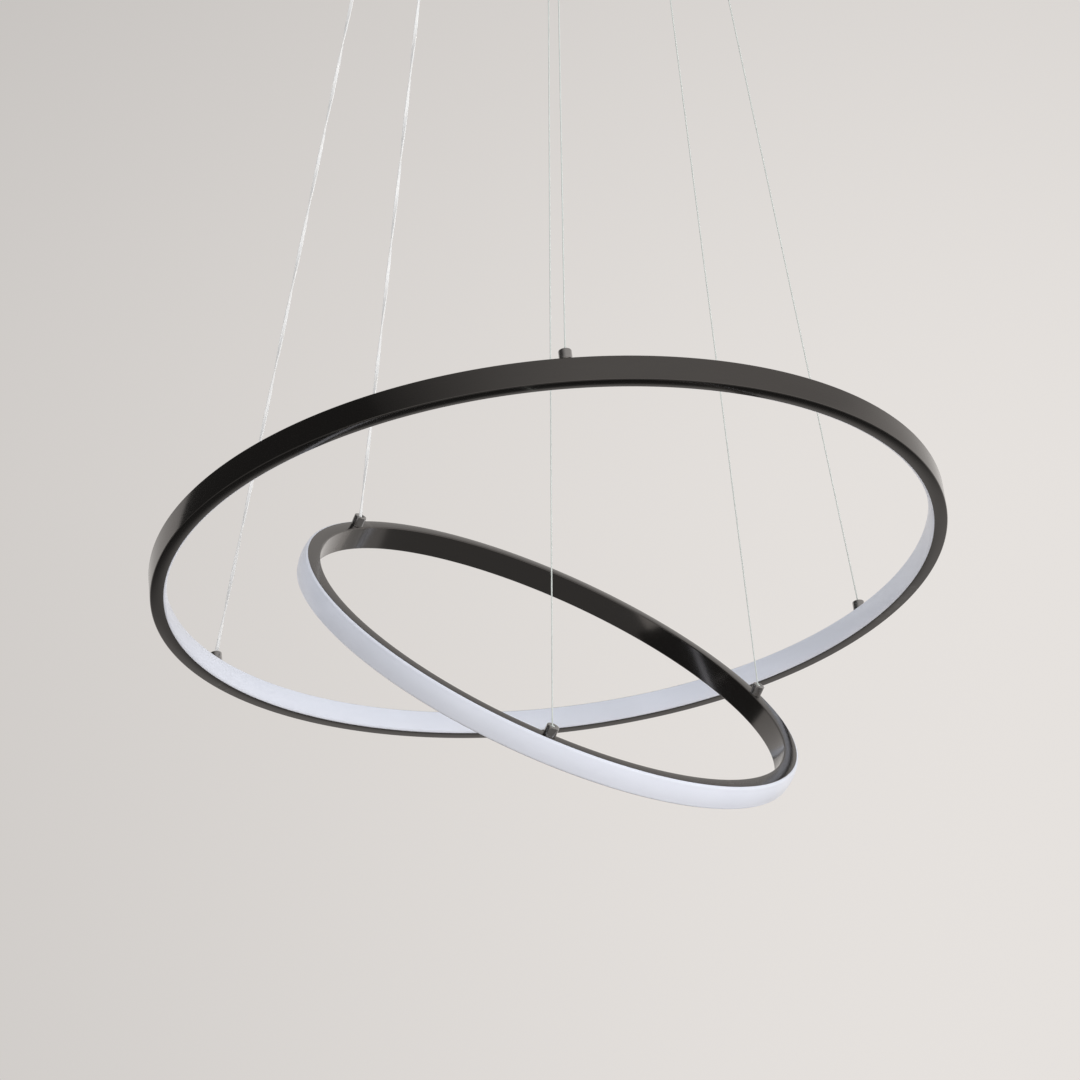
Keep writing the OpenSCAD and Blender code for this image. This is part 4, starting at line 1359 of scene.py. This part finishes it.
@dataclass
class CanopyWiring:
    """The leads and the foam tape inside the canopy."""

    lead: float = 0.0024
    driver: Vector = field(default_factory=lambda: Vector((0.110, 0.042, 0.024)))
    lead_z: float = -0.0258
    inside: float = 0.0035
    spread: float = 0.004
    terminal_y: float = 0.062
    terminal_z: float = -0.0338
    pitch: float = 0.009
    connector_z: float = -0.0348
    outputs: tuple = ((-0.008, -0.075), (-0.014, -0.091))
    inputs: tuple = ((0.009, LeadColour.BROWN), (0.003, LeadColour.BLUE))
    earth_x: float = 0.02
    earth_z: float = -0.0028

    def lay(self, name: str, node: str, points: list[tuple[float, float, float]], finish: Finish) -> None:
        """Lays one lead along its route.

        Args:
            name: the piece's name.
            node: the solid that it stands for.
            points: the route's corners.
            finish: its insulation.
        """
        path = spaced(eased([Vector(p) for p in points], 0.005, 8), 0.004)
        obj = drawn(name, path, disc(self.lead, 16), rows=4)
        finish.dress(obj)
        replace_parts(obj, node)
        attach(obj, "canopy")
        LOG.info("%s: %.0f mm", name, length_of(path) / MM)

    def leads(self) -> None:
        """Lays the five leads along the routes of the solids."""
        half, side, z = self.driver.x / 2, self.driver.y / 2, self.lead_z
        low, near, deep = self.terminal_z, self.terminal_y - 0.008, self.connector_z
        for i, (y, x) in enumerate(self.outputs):
            aside = self.spread * i
            self.lay(f"output_lead_{i + 1}", "output_leads", [
                (-half + self.inside, y, z), (-half - 0.003, y, z), (x + 0.008, -0.016 - aside, -0.0328),
                (x + 0.002, -0.015 - aside, deep), (x, -0.011, deep), (x, -0.006, deep)],
                LeadColour.WHITE.finish())
        for i, (y, colour) in enumerate(self.inputs):
            aside, first = self.spread * i, (i - 1) * self.pitch
            self.lay(f"input_lead_{colour.name.lower()}", "input_leads", [
                (first, near, low), (first, near - 0.005, low), (0.014 + aside, near - 0.018 + aside, low),
                (half - 0.005, side + 0.008 + aside, low), (half + 0.008 + aside, side - 0.002, z - 0.004),
                (half + 0.008 + aside, y + 0.005, z), (half + 0.004, y, z), (half - self.inside, y, z)],
                colour.finish())
        third, x, high = self.pitch, self.earth_x, self.earth_z
        self.lay("earth_lead_striped", "earth_lead", [
            (third, near, low), (third, near - 0.005, low), (third + 0.001, side + 0.012, -0.0178),
            ((third + x) / 2, side + 0.002, -0.0098), (x, 0.0145, -0.0055), (x, 0.008, high),
            (x, 0.004, high)], EARTH_STRIPES)

    def pad(self) -> None:
        """Lays the foam tape under the driver, with its cut edges pulled in a little."""
        low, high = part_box("driver_pad")
        size, mid = high - low, (high + low) / 2
        bm = bmesh.new()
        bmesh.ops.create_grid(bm, x_segments=40, y_segments=16, size=0.5)
        made = bmesh.ops.extrude_face_region(bm, geom=bm.faces[:])
        for item in made["geom"]:
            if isinstance(item, bmesh.types.BMVert):
                item.co.z = 1.0
        for v in bm.verts:
            rim = max(abs(v.co.x), abs(v.co.y)) * 2
            pulled = 1 - 0.006 * (rim > 0.99)
            v.co = Vector((v.co.x * size.x * pulled, v.co.y * size.y * pulled, (v.co.z - 0.5) * size.z)) + mid
        obj = settled(bm, "driver_foam_tape", None, 50)
        edge = obj.modifiers.new("soft edge", "BEVEL")
        edge.width, edge.segments, edge.limit_method = 0.0002, 2, "ANGLE"
        FOAM.dress(obj)
        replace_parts(obj, "driver_pad")
        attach(obj, "canopy")

    def build(self) -> None:
        """Builds the leads and the tape."""
        self.leads()
        self.pad()


@dataclass
class StripLeads:
    """The two short leads between a cable's end and its light strip."""

    ring: Ring
    lead: float = 0.0009
    strip: float = 0.00155
    air: float = 0.00005
    end: float = 0.0038
    corners: tuple = ((0.0, 0.7, 0.05), (0.0, 0.8, 0.8), (0.6, 1.4, 1.8), (1.0, 2.0, 2.6), (1.0, 2.2, 3.6))

    def build(self) -> None:
        """Lays both leads in the ring's channel.

        A corner is its share of the way to the strip, then its step aside and its drop in millimetres.
        """
        way = 1 if self.ring.inward else -1
        reach = self.ring.width / 2 - self.strip - self.lead / 2 - self.air
        place = self.ring.grip_place(self.ring.angles()[1])
        for side, label in ((-1, "a"), (1, "b")):
            route = [(way * reach / MM * share, aside * side, -self.end / MM - drop)
                     for share, aside, drop in self.corners]
            path = eased([place @ (Vector(p) * MM) for p in route], 0.0006, 4)
            obj = drawn(f"{self.ring.name}_strip_lead_{label}", path, disc(self.lead, 10))
            LeadColour.WHITE.finish().dress(obj)
            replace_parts(obj, f"{self.ring.name}_strip_leads")
            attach(obj, f"{self.ring.name}_ring")


# The studio


@dataclass(frozen=True)
class Lamp:
    """A soft square lamp that reflections don't show, with its side and its power in watts."""

    name: str
    place: tuple[float, float, float]
    size: float
    power: float
    colour: Colour = (1.0, 0.99, 0.98)

    def hang(self, aim: tuple[float, float, float]) -> None:
        """Hangs the lamp and turns it to a point.

        Args:
            aim: the point that it lights.
        """
        data = bpy.data.lights.new(self.name, "AREA")
        data.shape, data.size, data.energy, data.color = "SQUARE", self.size, self.power, self.colour
        obj = bpy.data.objects.new(self.name, data)
        bpy.context.scene.collection.objects.link(obj)
        turn = (Vector(self.place) - Vector(aim)).to_track_quat("Z", "Y").to_matrix().to_4x4()
        obj.matrix_world = Matrix.Translation(self.place) @ turn
        obj.visible_glossy = False


@dataclass(frozen=True)
class Card:
    """A card that only reflections see.

    Its level says where along one of the room's axes its brightness starts and stops to change, and the
    brightness at both.
    """

    name: str
    centre: tuple[float, float, float]
    aim: tuple[float, float, float]
    size: tuple[float, float]
    axis: int
    level: tuple[float, float, float, float]
    colour: Colour = (1.0, 0.965, 0.935)

    def stand(self) -> None:
        """Sets up the card."""
        bm = bmesh.new()
        bmesh.ops.create_grid(bm, x_segments=2, y_segments=2, size=0.5)
        for v in bm.verts:
            v.co.x *= self.size[0]
            v.co.y *= self.size[1]
        centre = Vector(self.centre)
        turn = (Vector(self.aim) - centre).to_track_quat("Z", "Y").to_matrix().to_4x4()
        obj = settled(bm, self.name, Matrix.Translation(centre) @ turn)
        mat = bpy.data.materials.new(self.name)
        mat.use_nodes = True
        mat.node_tree.nodes.clear()
        t = Tree(mat.node_tree)
        along = t.add("ShaderNodeSeparateXYZ", {0: t.place()}).outputs[self.axis]
        glow = t.add("ShaderNodeEmission", {0: self.colour, 1: t.span(along, *self.level)})
        t.add("ShaderNodeOutputMaterial", {0: glow.outputs[0]})
        obj.data.materials.append(mat)
        obj.visible_camera = obj.visible_diffuse = obj.visible_transmission = obj.visible_shadow = False


LAMPS = (
    Lamp("key", (2.7, -2.4, -0.1), 2.2, 62.0),
    Lamp("top", (-0.3, -1.0, 2.4), 2.0, 11.0, (0.96, 0.98, 1.0)))
CARDS = (
    Card("dark_left", (-3.0, -0.3, 0.4), (0.0, -0.3, 0.4), (4.8, 7.8), 1, (2.0, 3.6, 0.05, 0.5)),
    Card("dark_floor", (0.0, -2.2, -1.97), (0.0, -2.2, 0.0), (10.0, 10.4), 1, (0.84, 1.06, 0.17, 0.42)),
    Card("dark_strip", (-0.3, 0.53, -1.96), (-0.3, 0.53, 0.0), (2.4, 0.9), 1, (0.84, 0.98, 0.04, 0.3)),
    Card("grey_front", (-0.4, -1.7, 2.4), (0.0, -0.15, -0.65), (6.2, 3.5), 0, (-3.4, 1.0, 0.07, 0.44)))


@dataclass
class Studio:
    """The camera, the pale room and its lights.

    The wall's three spans say how its brightness changes across the room and upwards.
    """

    eye: Vector = field(default_factory=lambda: Vector((-0.0031, -2.738, -0.679)))
    lens: float = 121.33
    sensor: float = 36.0
    pale: Colour = (1.0, 0.959, 0.925)
    fill: float = 0.63
    middle: tuple[float, float, float] = (0.0, 0.0, -0.72)
    across: tuple[float, float, float, float] = (-0.27, 0.14, 0.600, 0.790)
    rise: tuple[float, float, float, float] = (0.0, 0.30, 1.0, 0.79)
    ceiling: tuple[float, float, float, float] = (0.27, 0.5, 1.0, 0.72)
    cloth: Colour = (0.83, 0.80, 0.77)
    floor_z: float = -2.0
    floor_radius: float = 5.5
    fade: tuple[float, float] = (3.2, 5.4)

    def camera(self) -> None:
        """Sets the camera where the photograph was taken from."""
        data = bpy.data.cameras.new("camera")
        data.lens, data.sensor_width, data.sensor_fit = self.lens, self.sensor, "HORIZONTAL"
        data.clip_end = 60.0
        obj = bpy.data.objects.new("camera", data)
        obj.location = self.eye
        obj.rotation_euler = (math.radians(90), 0, 0)
        bpy.context.scene.collection.objects.link(obj)
        bpy.context.scene.camera = obj

    def world(self) -> None:
        """Shows a pale wall to the camera, glass and metal, and an even light to the rest."""
        world = bpy.data.worlds.new("room")
        bpy.context.scene.world = world
        world.use_nodes = True
        world.node_tree.nodes.clear()
        t = Tree(world.node_tree)
        x, _, z = t.add("ShaderNodeSeparateXYZ", {0: t.place("Generated")}).outputs
        above = t.math("MULTIPLY", t.span(z, *self.rise), t.span(z, *self.ceiling))
        value = t.math("MULTIPLY", t.span(x, *self.across), above)
        grey = t.add("ShaderNodeCombineColor", {0: value, 1: value, 2: value}).outputs[0]
        wall = t.mix(1.0, grey, self.pale, "MULTIPLY")
        path = t.add("ShaderNodeLightPath").outputs
        seen = t.math("ADD", t.math("ADD", path["Is Camera Ray"], path["Is Glossy Ray"]),
                      path["Is Transmission Ray"], clamp=True)
        colour = t.mix(seen, (self.fill, self.fill * 0.99, self.fill * 0.98), wall)
        shine = t.add("ShaderNodeBackground", {0: colour, 1: 1.0})
        t.add("ShaderNodeOutputWorld", {0: shine.outputs[0]})

    def floor(self) -> None:
        """Lays a pale round floor that fades into the room at its rim."""
        bm = bmesh.new()
        bmesh.ops.create_circle(bm, cap_ends=True, segments=96, radius=self.floor_radius,
                                matrix=Matrix.Translation((0, 0, self.floor_z)))
        obj = settled(bm, "studio_floor")
        mat = bpy.data.materials.new("studio_floor")
        mat.use_nodes = True
        mat.node_tree.nodes.clear()
        t = Tree(mat.node_tree)
        x, y, _ = t.add("ShaderNodeSeparateXYZ", {0: t.place()}).outputs
        radius = t.math("SQRT", t.math("ADD", t.math("MULTIPLY", x, x), t.math("MULTIPLY", y, y)))
        cloth = t.add("ShaderNodeBsdfDiffuse", {0: self.cloth, 1: 1.0})
        clear = t.add("ShaderNodeBsdfTransparent")
        both = t.add("ShaderNodeMixShader", {0: t.span(radius, *self.fade, 0.0, 1.0), 1: cloth.outputs[0],
                                             2: clear.outputs[0]})
        t.add("ShaderNodeOutputMaterial", {0: both.outputs[0]})
        obj.data.materials.append(mat)

    def build(self) -> None:
        """Sets up the room, its lamps and the cards for the metal."""
        self.world()
        self.floor()
        for lamp in LAMPS:
            lamp.hang(self.middle)
        for card in CARDS:
            card.stand()


# Putting it together


def tidy_shading() -> None:
    """Gives each solid that still has no material the zinc finish."""
    for name, obj in frame["nodes"].items():
        if not obj.data.materials:
            ZINC.paint(name)


def main() -> None:
    """Builds the light and its studio in order."""
    logging.basicConfig(level=logging.INFO, format="%(name)s: %(message)s")
    scene = bpy.context.scene
    scene.view_settings.view_transform = "Standard"
    studio = Studio()
    studio.camera()

    def at(place: tuple[float, float]) -> Vector:
        """Returns the mouth of a gripper or gland in metres."""
        return Vector((*place, MOUTH_Z)) * MM

    large = Ring("large", 0.300, True, Hanging(0.6975, 27.0, 103.5), 33.7)
    small = Ring("small", 0.200, False, Hanging(0.769, 28.8, -33.8), 32.1)

    def on(ring: Ring, k: int, height: float) -> Vector:
        """Returns a point on a grip's axis, at a height over the ring's top."""
        return ring.grip_place(ring.angles()[k]) @ Vector((0, 0, height))

    mouths = {name: at(place) for name, place in GRIPPERS.items()}
    far, close = ("canopy", "large_hanger"), ("canopy", "small_hanger")
    for name, ring, k, ends, line in (
            ("large_right", large, 0, far, None), ("large_near", large, 2, far, "large_near_line"),
            ("small_right", small, 0, close, None), ("small_near", small, 2, close, None)):
        SteelWire(name.replace("_", "_wire_"), on(ring, k, ring.cap.pivot), mouths[name], ends, line).build()
    for ring, connector_x, ends, line, phase in (
            (large, -0.091, far, None, 20.0), (small, -0.075, close, "small_cable_line", 60.0)):
        ClearCable(f"{ring.name}_cable", on(ring, 1, -ring.cap.boss_top), on(ring, 1, CABLE_BEND),
                   at(GLANDS[ring.name]), connector_x, ends, f"{ring.name}_ring", line, phase=phase).build()
    for ring in (large, small):
        ring.build()
    for ring in (large, small):
        StripLeads(ring).build()
    CanopyWiring().build()

    ZINC.paint("ceiling_bracket", "terminal_screws", "gripper_nuts", "gland_nuts")
    BRASS.paint("earth_screw")
    BLACK_PAINT.paint("canopy_shell", "canopy_side_screws")
    CASE.paint("driver_case", "driver_lid")
    BOARD.paint("driver_board")
    PARTS.paint("driver_components")
    NYLON.paint("terminal_block", "lead_connectors")
    NICKEL.paint("gripper_bodies", "cable_glands", *(f"{p}_plunger" for p in GRIPPERS))
    for name, mouth in mouths.items():
        GripperSpring(name, mouth).build()
    tidy_shading()
    studio.build()


if __name__ == "__main__":
    main()
